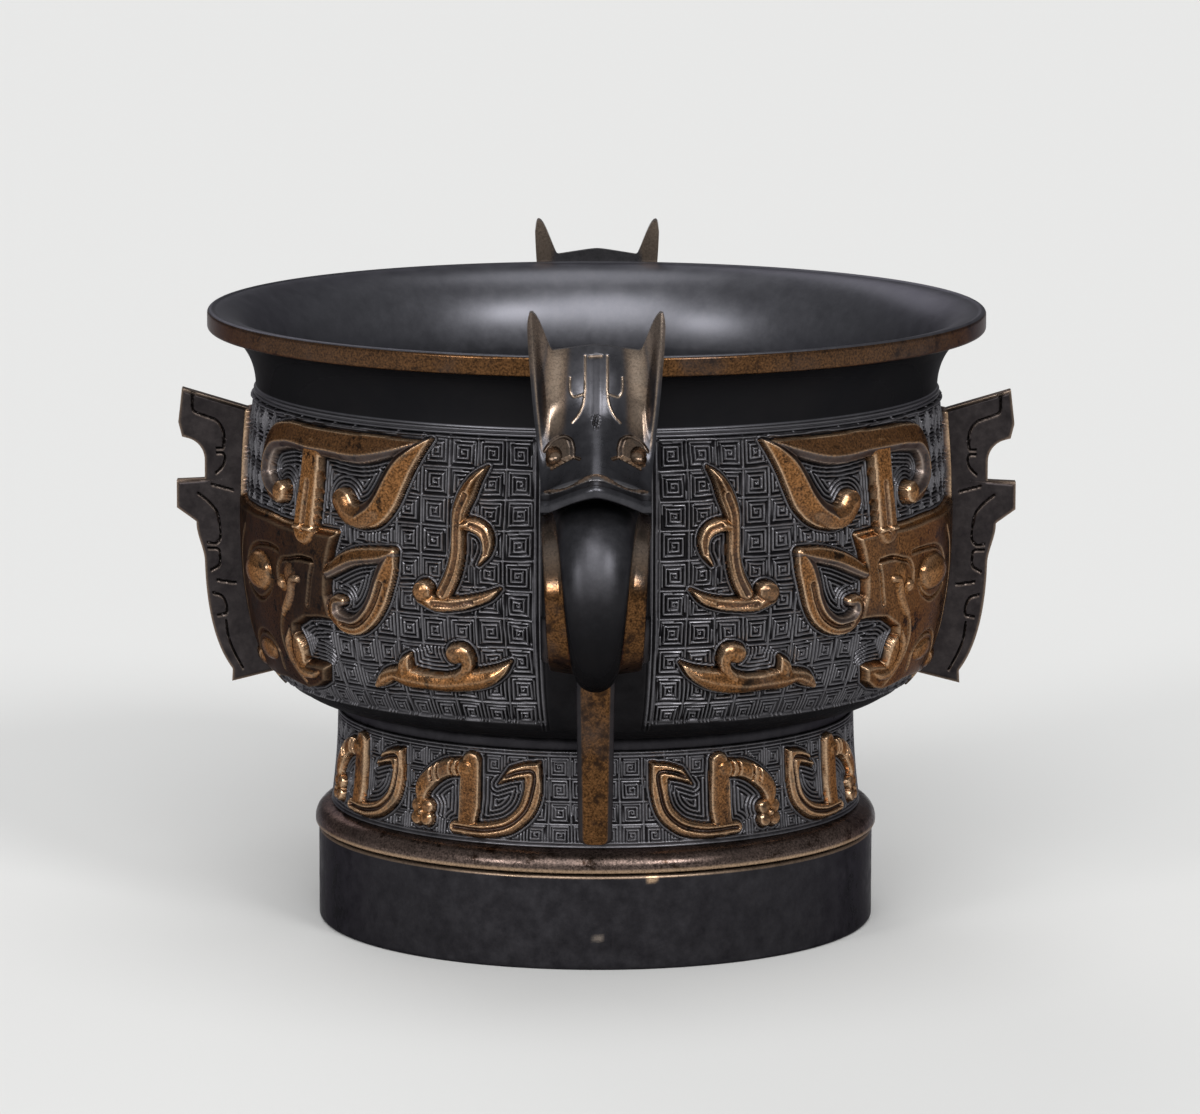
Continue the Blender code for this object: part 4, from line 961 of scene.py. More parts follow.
def ramp(tree, value, stops):
    """Colours along a value, from (place, colour) stops."""
    node = node_with(tree, "ShaderNodeValToRGB", {}, {"Fac": value})
    band = node.color_ramp
    while len(band.elements) < len(stops):
        band.elements.new(0.5)
    for element, (place, colour) in zip(band.elements, stops):
        element.position = place
        element.color = (*colour, 1.0)
    return node.outputs["Color"]


def remap(tree, value, low, high, to_low=0.0, to_high=1.0):
    """A value taken smoothly from one range to another."""
    values = {"From Min": low, "From Max": high, "To Min": to_low, "To Max": to_high}
    node = node_with(tree, "ShaderNodeMapRange", values, {"Value": value})
    node.interpolation_type = "SMOOTHSTEP"
    return node.outputs["Result"]


def joined(tree, operation, one, other):
    """Two values put through one operation of arithmetic."""
    node = node_with(tree, "ShaderNodeMath", {}, {0: one, 1: other})
    node.operation = operation
    return node.outputs["Value"]


def blended(tree, share, one, other, kind="RGBA"):
    node = tree.nodes.new("ShaderNodeMix")
    node.data_type = kind
    ports = [port for port in node.inputs if port.enabled and port.name in "AB"]
    tree.links.new(share, node.inputs["Factor"])
    tree.links.new(one, ports[0])
    tree.links.new(other, ports[1])
    return [port for port in node.outputs if port.enabled][0]


def attribute(tree, name):
    node = tree.nodes.new("ShaderNodeAttribute")
    node.attribute_name = name
    return node.outputs["Fac"]


def tinted(colour, share):
    return tuple(part * share for part in colour)


LOW_GOLD = (0.026, 0.014, 0.008)
BROWN = (0.068, 0.050, 0.043)
INK = (0.004, 0.004, 0.005)
DULL_INK = (0.009, 0.008, 0.008)
EDGE_TINT = (0.35, 0.34, 0.36, 1.0)
METALLIC = 0.9
BUMP_HEIGHT = 0.0002
# Noises, as (scale, detail, raggedness)
BROAD_NOISE = (55.0, 5.0, 0.6)
RAGGED_NOISE = (260.0, 9.0, 0.72)
SPECK_NOISE = (2400.0, 4.0, 0.65)
GRAIN_NOISE = (2600.0, 3.0, 0.5)
# Ranges, as (from low, from high, to low, to high)
BROWN_RANGE = (0.02, 0.35, 0.0, 0.9)
KEPT_RANGE = (0.32, 0.50, 0.40, 1.0)
RUB_AND_HIGHLIGHT_RANGE = (0.34, 0.58, 0.55, 0.95)
FILL_AND_SHADE_RANGE = (0.25, 0.95, 0.0, 0.92)
SHEEN_RANGE = (0.0, 1.0, 0.0, -0.11)
MATT_RANGE = (0.25, 0.95, 0.0, 0.20)


def bronze(name, dark, light, bright, gold, pale, rough, bump, patchy=1.0, flaked=1.0):
    """Patinated bronze: gilding on brown where the mesh says so, edges lightened as wear and painted
    highlight, and grooves darkened as dark fill and painted shade.
    """
    made, shader = nodes_of(name)
    tree = made.node_tree
    coords = tree.nodes.new("ShaderNodeTexCoord").outputs["Object"]
    broad = noise(tree, coords, *BROAD_NOISE)
    ragged = noise(tree, coords, *RAGGED_NOISE)
    speck = noise(tree, coords, *SPECK_NOISE)
    grain = noise(tree, coords, *GRAIN_NOISE)
    gilt = attribute(tree, "gilt")
    worn = attribute(tree, "worn")
    groove = attribute(tree, "groove")

    middle = tuple(mix(one, other, 0.45) for one, other in zip(dark, light))
    patina = ramp(tree, ragged, [(0.30, dark), (0.50, middle), (0.70, light)])
    brown = ramp(tree, ragged, [(0.32, tinted(BROWN, 0.45)), (0.68, BROWN)])
    under = blended(tree, remap(tree, gilt, *BROWN_RANGE), patina, brown)
    flecks = [(0.36, tinted(gold, 0.25)), (0.48, tinted(gold, 0.8)), (0.62, tinted(gold, 1.5))]
    pitted = ramp(tree, speck, flecks)
    dull = ramp(tree, ragged, [(0.38, LOW_GOLD), (0.60, tinted(gold, 0.6))])
    gilding = blended(tree, remap(tree, ragged, 0.30 + 0.06 * flaked, 0.37 + 0.08 * flaked), dull, pitted)
    kept = remap(tree, broad, *KEPT_RANGE)
    coloured = blended(tree, joined(tree, "MULTIPLY", gilt, kept), under, gilding)
    # pale colours over lightened edges, as wear and as painted highlight
    bare_and_highlit = ramp(tree, gilt, [(0.0, bright), (0.45, pale)])
    rub_and_highlight = joined(tree, "MULTIPLY", worn, remap(tree, speck, *RUB_AND_HIGHLIGHT_RANGE))
    edged = blended(tree, rub_and_highlight, coloured, bare_and_highlit)
    # near-black fill in hollows, also laid on as painted shade
    dark_fill_and_shade = ramp(tree, broad, [(0.3, INK), (0.8, DULL_INK)])
    filled_and_shaded = blended(tree, remap(tree, groove, *FILL_AND_SHADE_RANGE), edged, dark_fill_and_shade)
    tree.links.new(filled_and_shaded, shader.inputs["Base Color"])
    shader.inputs["Metallic"].default_value = METALLIC
    shader.inputs["Specular Tint"].default_value = EDGE_TINT
    uneven = remap(tree, ragged, 0.30, 0.70, rough - 0.05 * patchy, rough + 0.12 * patchy)
    sheen = joined(tree, "ADD", uneven, remap(tree, gilt, *SHEEN_RANGE))
    matt = remap(tree, groove, *MATT_RANGE)
    tree.links.new(joined(tree, "ADD", sheen, matt), shader.inputs["Roughness"])
    pits = blended(tree, grain, ragged, grain, "FLOAT")
    lift = node_with(tree, "ShaderNodeBump", {"Strength": bump, "Distance": BUMP_HEIGHT}, {"Height": pits})
    tree.links.new(lift.outputs["Normal"], shader.inputs["Normal"])
    return made


GOLD = (0.235, 0.106, 0.038)
BROWN_GOLD = (0.115, 0.054, 0.020)
COPPER = (0.125, 0.090, 0.076)
# Pale gold, beige and each set's bright colour go on lightened edges, as wear and painted highlight
PALE_GOLD = (0.64, 0.44, 0.28)
BEIGE = (0.38, 0.30, 0.235)
PATINA = {"dark": (0.028, 0.027, 0.030), "light": (0.110, 0.106, 0.115), "bright": (0.22, 0.215, 0.23)}
SMOOTH = {"dark": (0.090, 0.090, 0.101), "light": (0.122, 0.122, 0.136), "bright": (0.16, 0.15, 0.15)}
POLISHED = {"dark": (0.040, 0.040, 0.045), "light": (0.076, 0.075, 0.083), "bright": (0.20, 0.19, 0.19)}
DULL = {"dark": (0.019, 0.018, 0.021), "light": (0.044, 0.042, 0.047), "bright": (0.24, 0.20, 0.17)}
MAUVE = {"dark": (0.020, 0.017, 0.018), "light": (0.056, 0.048, 0.048), "bright": (0.32, 0.25, 0.21)}
GILDED = {"gold": GOLD, "pale": PALE_GOLD}
EVEN = {"patchy": 0.3}
BELLY_BRONZE = bronze("belly_bronze", **PATINA, **GILDED, rough=0.31, bump=0.22)
FOOT_BRONZE = bronze("foot_bronze", **PATINA, **GILDED, rough=0.31, bump=0.22)
BOWL_BRONZE = bronze("bowl_bronze", **SMOOTH, gold=BROWN_GOLD, pale=PALE_GOLD, rough=0.36, bump=0.05, **EVEN)
PLINTH_BRONZE = bronze("plinth_bronze", **DULL, gold=COPPER, pale=PALE_GOLD, rough=0.34, bump=0.14)
BROWNED = {"gold": BROWN_GOLD, "pale": BEIGE}
HANDLE_BRONZE = bronze("handle_bronze", **POLISHED, **BROWNED, rough=0.28, bump=0.10, flaked=1.7, **EVEN)
FLANGE_BRONZE = bronze("flange_bronze", **MAUVE, **BROWNED, rough=0.36, bump=0.16)
RIVET_BRONZE = bronze("rivet_bronze", **PATINA, **GILDED, rough=0.40, bump=0.2)


# Turned pieces, with the number of points along each stretch of their profiles

CURVE_POINTS = 40
UPPER_POINTS = 24
FLOOR_POINTS = 14
LIP_POINTS = 10
UNDER_LIP_POINTS = 8
RING_POINTS = 7
RECESS_POINTS = 60
SEAT_POINTS = 80
MOULDING_POINTS = 24
MOULDING_EDGE_POINTS = 6
PLINTH_EDGE_POINTS = 8


def arc(centre, radius_r, radius_z, start, end, count):
    """Points of an oval arc between two angles in degrees."""
    turn = np.radians(np.linspace(start, end, count))
    return [(centre[0] + radius_r * math.cos(t), centre[1] + radius_z * math.sin(t)) for t in turn]


def lower_belly(seat, peak, base, count):
    """The full curve from the widest point of the belly down to its seat."""
    turn = np.linspace(0.0, QUARTER, count)
    across = np.cos(turn) ** (2 / BELLY_FULLNESS)
    down = np.sin(turn) ** (2 / BELLY_FULLNESS)
    return list(zip(mix(seat, peak, across), BOWL_BASE + mix(BELLY_PEAK, base, down)))


def cove(foot, top, count):
    """A quarter-round hollow from its flat top down to its upright foot."""
    turn = np.linspace(QUARTER, 0.0, count)
    return list(zip(mix(foot[0], top[0], 1 - np.cos(turn)), mix(foot[1], top[1], np.sin(turn))))


def bowl_core():
    """The bowl's floor, hollow, lip, neck and seat, with a recess where the relief tiles lie."""
    foot = (NECK_RADIUS - BOWL_WALL, NECK_JOINT)
    flare = cove(foot, INNER_LIP, CURVE_POINTS)
    heights = np.linspace(BELLY_HEIGHT, BELLY_PEAK, UPPER_POINTS)[1:-1]
    upper = [(float(belly_radius(h)) - BOWL_WALL, BOWL_BASE + h) for h in heights]
    hollow = lower_belly(SEAT_RADIUS - BOWL_WALL, BELLY_RADIUS - BOWL_WALL, BOWL_FLOOR, CURVE_POINTS)
    radii = np.linspace(SEAT_RADIUS - BOWL_WALL, AXIS_HOLE, FLOOR_POINTS)[1:]
    floor = [(r, BOWL_BASE + BOWL_FLOOR) for r in radii]
    inside = (flare + upper + hollow + floor)[::-1]
    edge = (RIM_RADIUS - LIP_EDGE, RIM_TOP - LIP_EDGE)
    under_edge = (RIM_RADIUS - LIP_ROUND, UNDER_LIP + LIP_ROUND)
    lip = arc(edge, LIP_EDGE, LIP_EDGE, 100, 0, LIP_POINTS)
    lip += arc(under_edge, LIP_ROUND, LIP_ROUND, 0, -80, UNDER_LIP_POINTS)
    neck = cove((NECK_RADIUS, NECK_FOOT), NECK_TOP, CURVE_POINTS)
    rings = []
    for level in RING_LEVELS:
        rings += arc((NECK_RADIUS, NECK_JOINT + level), *RING_SIZE, 80, -80, RING_POINTS)
    recess = TILE_DEPTH + TILE_PLAY
    heights = np.linspace(*RECESS_ENDS, RECESS_POINTS)
    under_tiles = [(float(belly_radius(z - BOWL_BASE)) - recess, z) for z in heights]
    outside = lower_belly(SEAT_RADIUS, BELLY_RADIUS, 0.0, SEAT_POINTS)
    seat = [point for point in outside if point[1] < BELLY_TILE_FOOT]
    spigot = FOOT_RADIUS - FOOT_WALL - SEAM
    spigot_foot = BOWL_BASE - SPIGOT_DEPTH
    under = [(spigot, BOWL_BASE), (spigot, spigot_foot), (spigot - SPIGOT_WALL, spigot_foot)]
    under += [(spigot - SPIGOT_WALL, BOWL_BASE), (AXIS_HOLE, BOWL_BASE)]
    return inside + lip + neck + rings + under_tiles + seat + under


def bowl_finish(radius, height, turn):
    """Worn gilding on the lip, most of it beside the handles, and a near-black neck and seat: dark patina
    deepened with painted shade.
    """
    low, high = LIP_GILT_BAND
    lip = (height > low) & (height < high) & (radius > RIM_RADIUS - SKIN_MARGIN)
    outside = radius > bowl_outer(height) - SKIN_MARGIN
    neck = outside & (height > NECK_FOOT) & ~lip & (height < NECK_END)
    seat = outside & (height < BELLY_TILE_FOOT)
    rings = outside & (height > NECK_JOINT) & (height <= NECK_FOOT)
    kept = mix(LIP_GILT_LEAST, 1.0, np.sin(turn) ** 4)
    return {"gilt": lip * kept, "groove": 1.0 * (neck | seat), "worn": RING_WEAR * rings}


def foot_core():
    """The foot's collar, moulding and inner wall, with a recess where the relief tiles lie."""
    bore = FOOT_RADIUS - FOOT_WALL
    collar = [(bore, FOOT_TOP), (FOOT_RADIUS - COLLAR_EDGE, FOOT_TOP), (FOOT_RADIUS, FOOT_TOP - COLLAR_EDGE)]
    collar += [(FOOT_RADIUS, BAND_TOP + COLLAR_STEP), (FOOT_RADIUS - COLLAR_STEP, BAND_TOP)]
    shoulder = FOOT_RADIUS + FOOT_FLARE
    wall = [(FOOT_RADIUS - TILE_DEPTH, BAND_TOP), (shoulder - TILE_DEPTH, BAND_FOOT)]
    wall.append((shoulder - MOULDING_STEP, BAND_FOOT))
    widest = (shoulder, FOOT_BASE + MOULDING_HEIGHT * MOULDING_PEAK)
    rise = MOULDING_HEIGHT * MOULDING_RISE
    moulding = arc(widest, MOULDING_RADIUS - shoulder, rise, 86, 0, MOULDING_POINTS)
    edge = (MOULDING_RADIUS - MOULDING_EDGE, FOOT_BASE + MOULDING_EDGE)
    moulding += arc(edge, MOULDING_EDGE, MOULDING_EDGE, 0, -90, MOULDING_EDGE_POINTS)
    spigot = PLINTH_RADIUS - PLINTH_WALL - SEAM
    spigot_foot = FOOT_BASE - SPIGOT_DEPTH
    under = [(spigot, FOOT_BASE), (spigot, spigot_foot), (spigot - FOOT_WALL, spigot_foot), (bore, BAND_TOP)]
    return collar + wall + moulding + under


def foot_finish(radius, height, turn):
    """Brown wear over the moulding, bright along its lower edge."""
    moulding = (height > FOOT_BASE) & (height < BAND_FOOT) & (radius > FOOT_RADIUS)
    edge = (height < FOOT_BASE + MOULDING_WORN_HEIGHT) & (radius > MOULDING_RADIUS - MOULDING_WORN_DEPTH)
    return {"gilt": MOULDING_GILT * moulding, "groove": 0.0, "worn": MOULDING_WEAR * (moulding & edge)}


def plinth_core():
    """The plain ring that the censer stands on, its edges rounded."""
    bore = PLINTH_RADIUS - PLINTH_WALL
    edge = PLINTH_RADIUS - PLINTH_EDGE
    outside = arc((edge, PLINTH_TOP - PLINTH_EDGE), PLINTH_EDGE, PLINTH_EDGE, 90, 0, PLINTH_EDGE_POINTS)
    for height in np.linspace(PLINTH_TOP - PLINTH_MARGIN, PLINTH_MARGIN, PLINTH_LEVELS):
        outside.append((PLINTH_RADIUS, height))
    outside += arc((edge, PLINTH_EDGE), PLINTH_EDGE, PLINTH_EDGE, 0, -90, PLINTH_EDGE_POINTS)
    return outside + [(bore, 0.0), (bore, PLINTH_TOP)]


# Marks on the plinth, as (angle round, height, half width)
PLINTH_FLECK = (281.4, PLINTH_TOP - 0.7, 1.5)
PLINTH_CHIP = (270.6, 6.6, 1.1)
MARK_FADE = (0.4, 1.0)


def plinth_finish(radius, height, turn):
    """Wear along the top edge, a fleck of gilding and a chip."""
    edge = (height > PLINTH_TOP - PLINTH_EDGE) & (radius > PLINTH_RADIUS - PLINTH_EDGE)
    outside = radius > PLINTH_RADIUS - 2 * PLINTH_EDGE
    marks = []
    for angle, level, half in (PLINTH_FLECK, PLINTH_CHIP):
        along = (turn - math.radians(angle)) * PLINTH_RADIUS
        marks.append((1.0 - ease(*MARK_FADE, np.hypot(along, height - level) / half)) * outside)
    fleck, chip = marks
    worn = np.maximum(PLINTH_WEAR * edge, chip + fleck)
    return {"gilt": np.maximum(PLINTH_GILT * edge, fleck), "groove": 0.0, "worn": worn}


turned("bowl_core", bowl_core(), False, bowl_finish, BOWL_BRONZE, "bowl_bronze", "bowl")
turned("foot_core", foot_core(), True, foot_finish, PLINTH_BRONZE, "foot_bronze", "foot_drum")
turned("plinth", plinth_core(), True, plinth_finish, PLINTH_BRONZE, "plinth_bronze", "plinth_ring")

belly = Profile(lambda z: belly_radius(z - BOWL_BASE), NECK_JOINT, BELLY_TILE_FOOT, BELLY_REFERENCE)
foot = Profile(foot_radius, BAND_TOP, BAND_FOOT, FOOT_REFERENCE)
quarter_tiles("belly", belly, belly_field, 2, TILE_DEPTH, BELLY_BRONZE, "bowl_bronze")
quarter_tiles("foot_band", foot, foot_field, 1, TILE_DEPTH - TILE_PLAY, FOOT_BRONZE, "foot_bronze")


# Handles: a beast's head over a strap loop with a hanging tab

# Crown, brow, snout and throat of the head
CROWN_RISE = 2.7
CROWN_GABLE = 1.9
CROWN_GABLE_RUN = 0.25
CROWN_PEAK_ROUND = 0.08
CROWN_DEPTH = 2.0
CROWN_HALF_WIDTH = 13.0
BROW_REACH = 4.2
BROW_DROP = 15.0
SNOUT_REACH = 16.3
SNOUT_DROP = 21.8
SNOUT_HALF_WIDTH = 10.8
SNOUT_SWEEP = 7.0
FACE_TAPER_RUN = 0.9
LIP_ARCH = 5.0
LIP_PEAK_ROUND = 0.012
LIP_PEAK_POWER = 0.68
LIP_ROLL = 2.6
LIP_SWELL = 0.9
THROAT_NARROWING = 0.24
THROAT_DEPTH = 12.0

# Channels between forehead and ears
CHANNEL_SPREAD = 9.0
CHANNEL_DEPTH = 2.4
CHANNEL_START = 0.3
CHANNEL_OPEN_RUN = 0.4
CHANNEL_FADE_RUN = 0.7

# Ears that stand over the crown
EAR_HEIGHT = 8.05
EAR_ROOT = 8.6
EAR_TIP = 0.80
EAR_FLARE = 0.6
EAR_TIP_DROP = 0.3
EAR_TIP_POWER = 2.5
EAR_CLIMB_POWER = 1.25
EAR_FORWARD = 2.1
EAR_FORWARD_RUN = 0.55
EAR_FORWARD_BAND = (-3.0, -0.5)
EAR_UPRIGHT = 0.65
EAR_BLEND = 0.42

# Nose and lip
NOSE_RISE = 1.1
NOSE_SPREAD = 4.2
NOSE_RUN = (0.42, 0.72)
LIP_PROUD = 0.8

# Loop: a strap with a half-round rib along it, thickest at its shoulder
LOOP_RUN = 8.5
LOOP_REACH = 13.0
LOOP_TOP_DROP = 36.0
LOOP_GAP_HEIGHT = 21.0
LOOP_STEPS = (6, 90, 18)
LOOP_TOP_PLAY = 1.2
STRAP_THICKNESS = 4.2
STRAP_HALF_WIDTHS = (10.9, 8.6)
STRAP_EDGE = 0.7
STRAP_THICKENING = 1.3
STRAP_THICKENS = (0.55, 0.85)
RIB_SWELL = 3.6
RIB_HALF_WIDTHS = (8.8, 2.7)
RIB_CREASE = 0.3
RIB_TURNS = np.radians(np.linspace(168, 12, 17))
SHOULDER_SWELL = 3.6
SHOULDER_FADES = (0.10, 0.40)
COLLAR_PLACE = 0.15
COLLAR_FLANK = (0.0, 0.014)
COLLAR_RISE = 0.4
COLLAR_HIGHLIGHT = 0.6
ROOT_FLARE = 2.2
ROOT_POWER = 1.6
ROOT_LENGTH = 5.0
ROOT_RISE = 4.2
LOOP_TOP = RIM_TOP - LOOP_TOP_DROP
LOOP_FLOOR = LOOP_TOP - LOOP_GAP_HEIGHT
LOOP_CENTRE = BELLY_RADIUS + LOOP_RUN

# Finish of the loop, with places along it as shares of its length
# Painted highlight near the top of the strap and on the collar, painted shade lower down the strap and down
# the rib
STRAP_GILT_LEAST = 0.35
STRAP_GILT_STARTS = (0.24, 0.40)
STRAP_GILT_LOSS = 0.7
STRAP_GILT_FADES = (0.60, 0.74)
STRAP_HIGHLIGHT = 0.55
STRAP_HIGHLIGHT_STARTS = (0.04, 0.12)
STRAP_HIGHLIGHT_FADES = (0.26, 0.42)
STRAP_SHADE = 0.5
STRAP_SHADE_STARTS = (0.40, 0.75)
RIB_SHADE = (0.4, 0.9)
RIB_SHADE_STARTS = (0.2, 0.6)

# Tab that hangs below the loop
TAB_LENGTH = 34.8
TAB_THICKNESS = 4.4
TAB_HALF_WIDTHS = (3.9, 3.3)
TAB_CORNER = 1.2
TAB_BEVEL = 1.1
TAB_ROUND = 0.45
TAB_THINNING = 0.5
TAB_ROWS = 60
TAB_CORNER_ROWS = 8
TAB_FACE_DEPTH = 0.2
TAB_SIDE_GILT = 0.1
TAB_SIDE_DARK = 0.6

# Face of the beast, as (across from -1 to 1, down from crown 0 to lip 1)
FACE_ACROSS = 12.0
FACE_LENGTH = 29.5
FACE_COLUMNS = 177
FACE_ROWS = 190
LIP_ROWS = 12
THROAT_ROWS = 12
NECK_ROWS = 16
MOUTH_SHADOW_ROW = FACE_ROWS + 9
HEAD_BACK_STRIDE = 4
FOREHEAD_LINE = [(0.165, 0.055), (0.17, 0.2), (0.185, 0.32), (0.22, 0.38), (0.305, 0.445), (0.40, 0.485)]
FOREHEAD_HOOK = [(0.20, 0.295), (0.28, 0.307), (0.35, 0.312), (0.395, 0.29), (0.405, 0.24), (0.40, 0.19)]
FOREHEAD_SLOT = [(0.0, 0.07), (0.0, 0.22), (0.0, 0.42)]
FOREHEAD_BAR = [(-0.10, 0.062), (0.0, 0.065), (0.08, 0.06)]
FOREHEAD_CHIP = (0.0, 0.48, 0.09, 0.07)
EYE_SOCKET = [
    (0.88, 0.63), (0.80, 0.60), (0.68, 0.578), (0.54, 0.574), (0.45, 0.60), (0.41, 0.66), (0.415, 0.715),
    (0.36, 0.75), (0.30, 0.775), (0.44, 0.745), (0.62, 0.75), (0.80, 0.765), (0.88, 0.74),
]
EYE_LID = [
    (0.88, 0.625), (0.80, 0.597), (0.68, 0.575), (0.54, 0.571), (0.44, 0.598), (0.395, 0.66), (0.40, 0.715),
]
EYE_TEAR = [(0.78, 0.765), (0.62, 0.752), (0.48, 0.738), (0.40, 0.735), (0.30, 0.755)]
EYE_PLACE = (0.735, 0.688)
LIP_LINE = [
    (-0.92, 0.93), (-0.6, 0.955), (-0.25, 0.94), (0.0, 0.925), (0.25, 0.94), (0.6, 0.955), (0.92, 0.93),
]

# Cuts, wear, painted light and shade, and eyes of the face, with places over it as in its outlines
LIP_START = (0.925, 0.95)
HEAD_RIM_START = (0.90, 0.93)
HEAD_RIM_END = (0.935, 0.955)
HEAD_SIDE = (0.95, 0.97)
HEAD_SIDE_SHADE = 0.6
HEAD_UPPER_END = (0.55, 0.65)
FACE_BORDER = 0.12
HEAD_RIM_HIGHLIGHT_GILT = 0.4
HEAD_RIM_HIGHLIGHT = 0.75
EAR_GILT_AND_LIGHT_RISE = (0.5, 3.0)
EAR_GILT = 0.3
EAR_HIGHLIGHT = 0.35
EAR_BACK_WEAR_AND_LIGHT = (1.0, 3.0)
EAR_BACK_GILT = 0.6
BACK_PAINTED_LIGHT = 0.35
CHIP_FADE = 0.6
CHIP_DEPTH = 0.35
CHIP_DARK = 0.4
CHIP_SEED = 5
CHIP_GRAIN = 1.0
CHANNEL_MIDDLE = 0.58
CHANNEL_DRIFT = 0.22
CHANNEL_HALF = 0.25
CHANNEL_END = (0.44, 0.64)
CHANNEL_EAR = (0.8, 3.0)
CHANNEL_GILT_AND_HIGHLIGHT = 0.85
EYE_HOLLOW = {"depth": 0.5, "bevel": 0.5, "gilt": 0.5, "pale": 0.4}
EYE_RING_DROP = 0.012
# Knobs of an eye, as (half widths, rise, gilding, base, darkness)
EYE_RING = (2.0, 1.9, 0.9, 1.0, -0.5, 0.0)
EYE_BALL = (1.8, 1.75, 2.2, 0.8, -0.4, 0.5)
EYE_LINES = ((EYE_LID, 0.35), (EYE_TEAR, 0.9))
EYE_LINE_HALF = 0.4
EYE_LINE_RISE = 0.4
FOREHEAD_CUT = {"half": 0.24, "depth": 0.18, "gilt": 1.0, "pale": 0.9}
MIDDLE_CUTS = (
    (FOREHEAD_SLOT, {"half": 0.9, "depth": 0.08, "dark": 0.55}),
    (FOREHEAD_BAR, {"half": 0.3, "depth": 0.25, "gilt": 0.6, "pale": 0.5}),
    (LIP_LINE, {"half": 0.3, "depth": 0.3, "gilt": 0.4, "pale": 0.15}),
)


def head_half(down):
    """Half the width of the face at a place down it."""
    return mix(CROWN_HALF_WIDTH, SNOUT_HALF_WIDTH, ease(0.0, FACE_TAPER_RUN, down))


def head_surface(across, down):
    """(x, reach, z) of the face of the beast."""
    stay = (1.0 - down) ** 2
    bend = 2 * down * (1.0 - down)
    land = down**2
    reach = RIM_RADIUS + (SEAM + CROWN_DEPTH) * stay + BROW_REACH * bend + SNOUT_REACH * land
    height = RIM_TOP + CROWN_RISE * stay - BROW_DROP * bend - SNOUT_DROP * land
    half = head_half(down)
    x = across * half
    aside = np.abs(x)
    opened = mix(CHANNEL_START, 1.0, ease(0.0, CHANNEL_OPEN_RUN, down))
    channel = CHANNEL_DEPTH * opened * ease(0.0, CHANNEL_FADE_RUN, 1.0 - down)
    dip = channel * np.sin(np.minimum(aside / CHANNEL_SPREAD, 1.0) * QUARTER) ** 2
    edge = channel * ease(0.0, 1.0, (aside - CHANNEL_SPREAD) / (half - CHANNEL_SPREAD))
    gable = CROWN_GABLE * (1.0 - ease(0.0, CROWN_GABLE_RUN, down)) * np.hypot(across, CROWN_PEAK_ROUND)
    sweep = SNOUT_SWEEP * ease(0.0, 1.0, down) * across**2
    ear = crown_ear(across, down)
    forward = EAR_FORWARD * (1.0 - ease(0.0, EAR_FORWARD_RUN, down)) * ease(*EAR_FORWARD_BAND, aside - half)
    forward = forward * (1.0 - EAR_UPRIGHT * ear / EAR_HEIGHT)
    nose = NOSE_RISE * np.exp(-((x / NOSE_SPREAD) ** 2)) * ease(*NOSE_RUN, down)
    peaked = (across**2 + LIP_PEAK_ROUND) ** LIP_PEAK_POWER
    bow = LIP_ARCH * ease(0.0, 1.0, down) * mix(across**2, peaked, ease(0.5, 1.0, down))
    flared = x + np.sign(x) * EAR_FLARE * ear / EAR_HEIGHT
    return flared, reach - dip + edge - sweep + forward + nose, height - bow - gable + ear


def ear_rise(aside):
    """How far the edge of an ear stands over the crown at a distance from the middle of the head."""
    share = np.clip((aside - EAR_ROOT) / (CROWN_HALF_WIDTH - EAR_ROOT), 0.0, 1.0)
    climb = np.sin(np.minimum(share / EAR_TIP, 1.0) * QUARTER) ** EAR_CLIMB_POWER
    tip = np.clip((share - EAR_TIP) / (1.0 - EAR_TIP), 0.0, 1.0)
    return EAR_HEIGHT * (climb - EAR_TIP_DROP * tip**EAR_TIP_POWER)


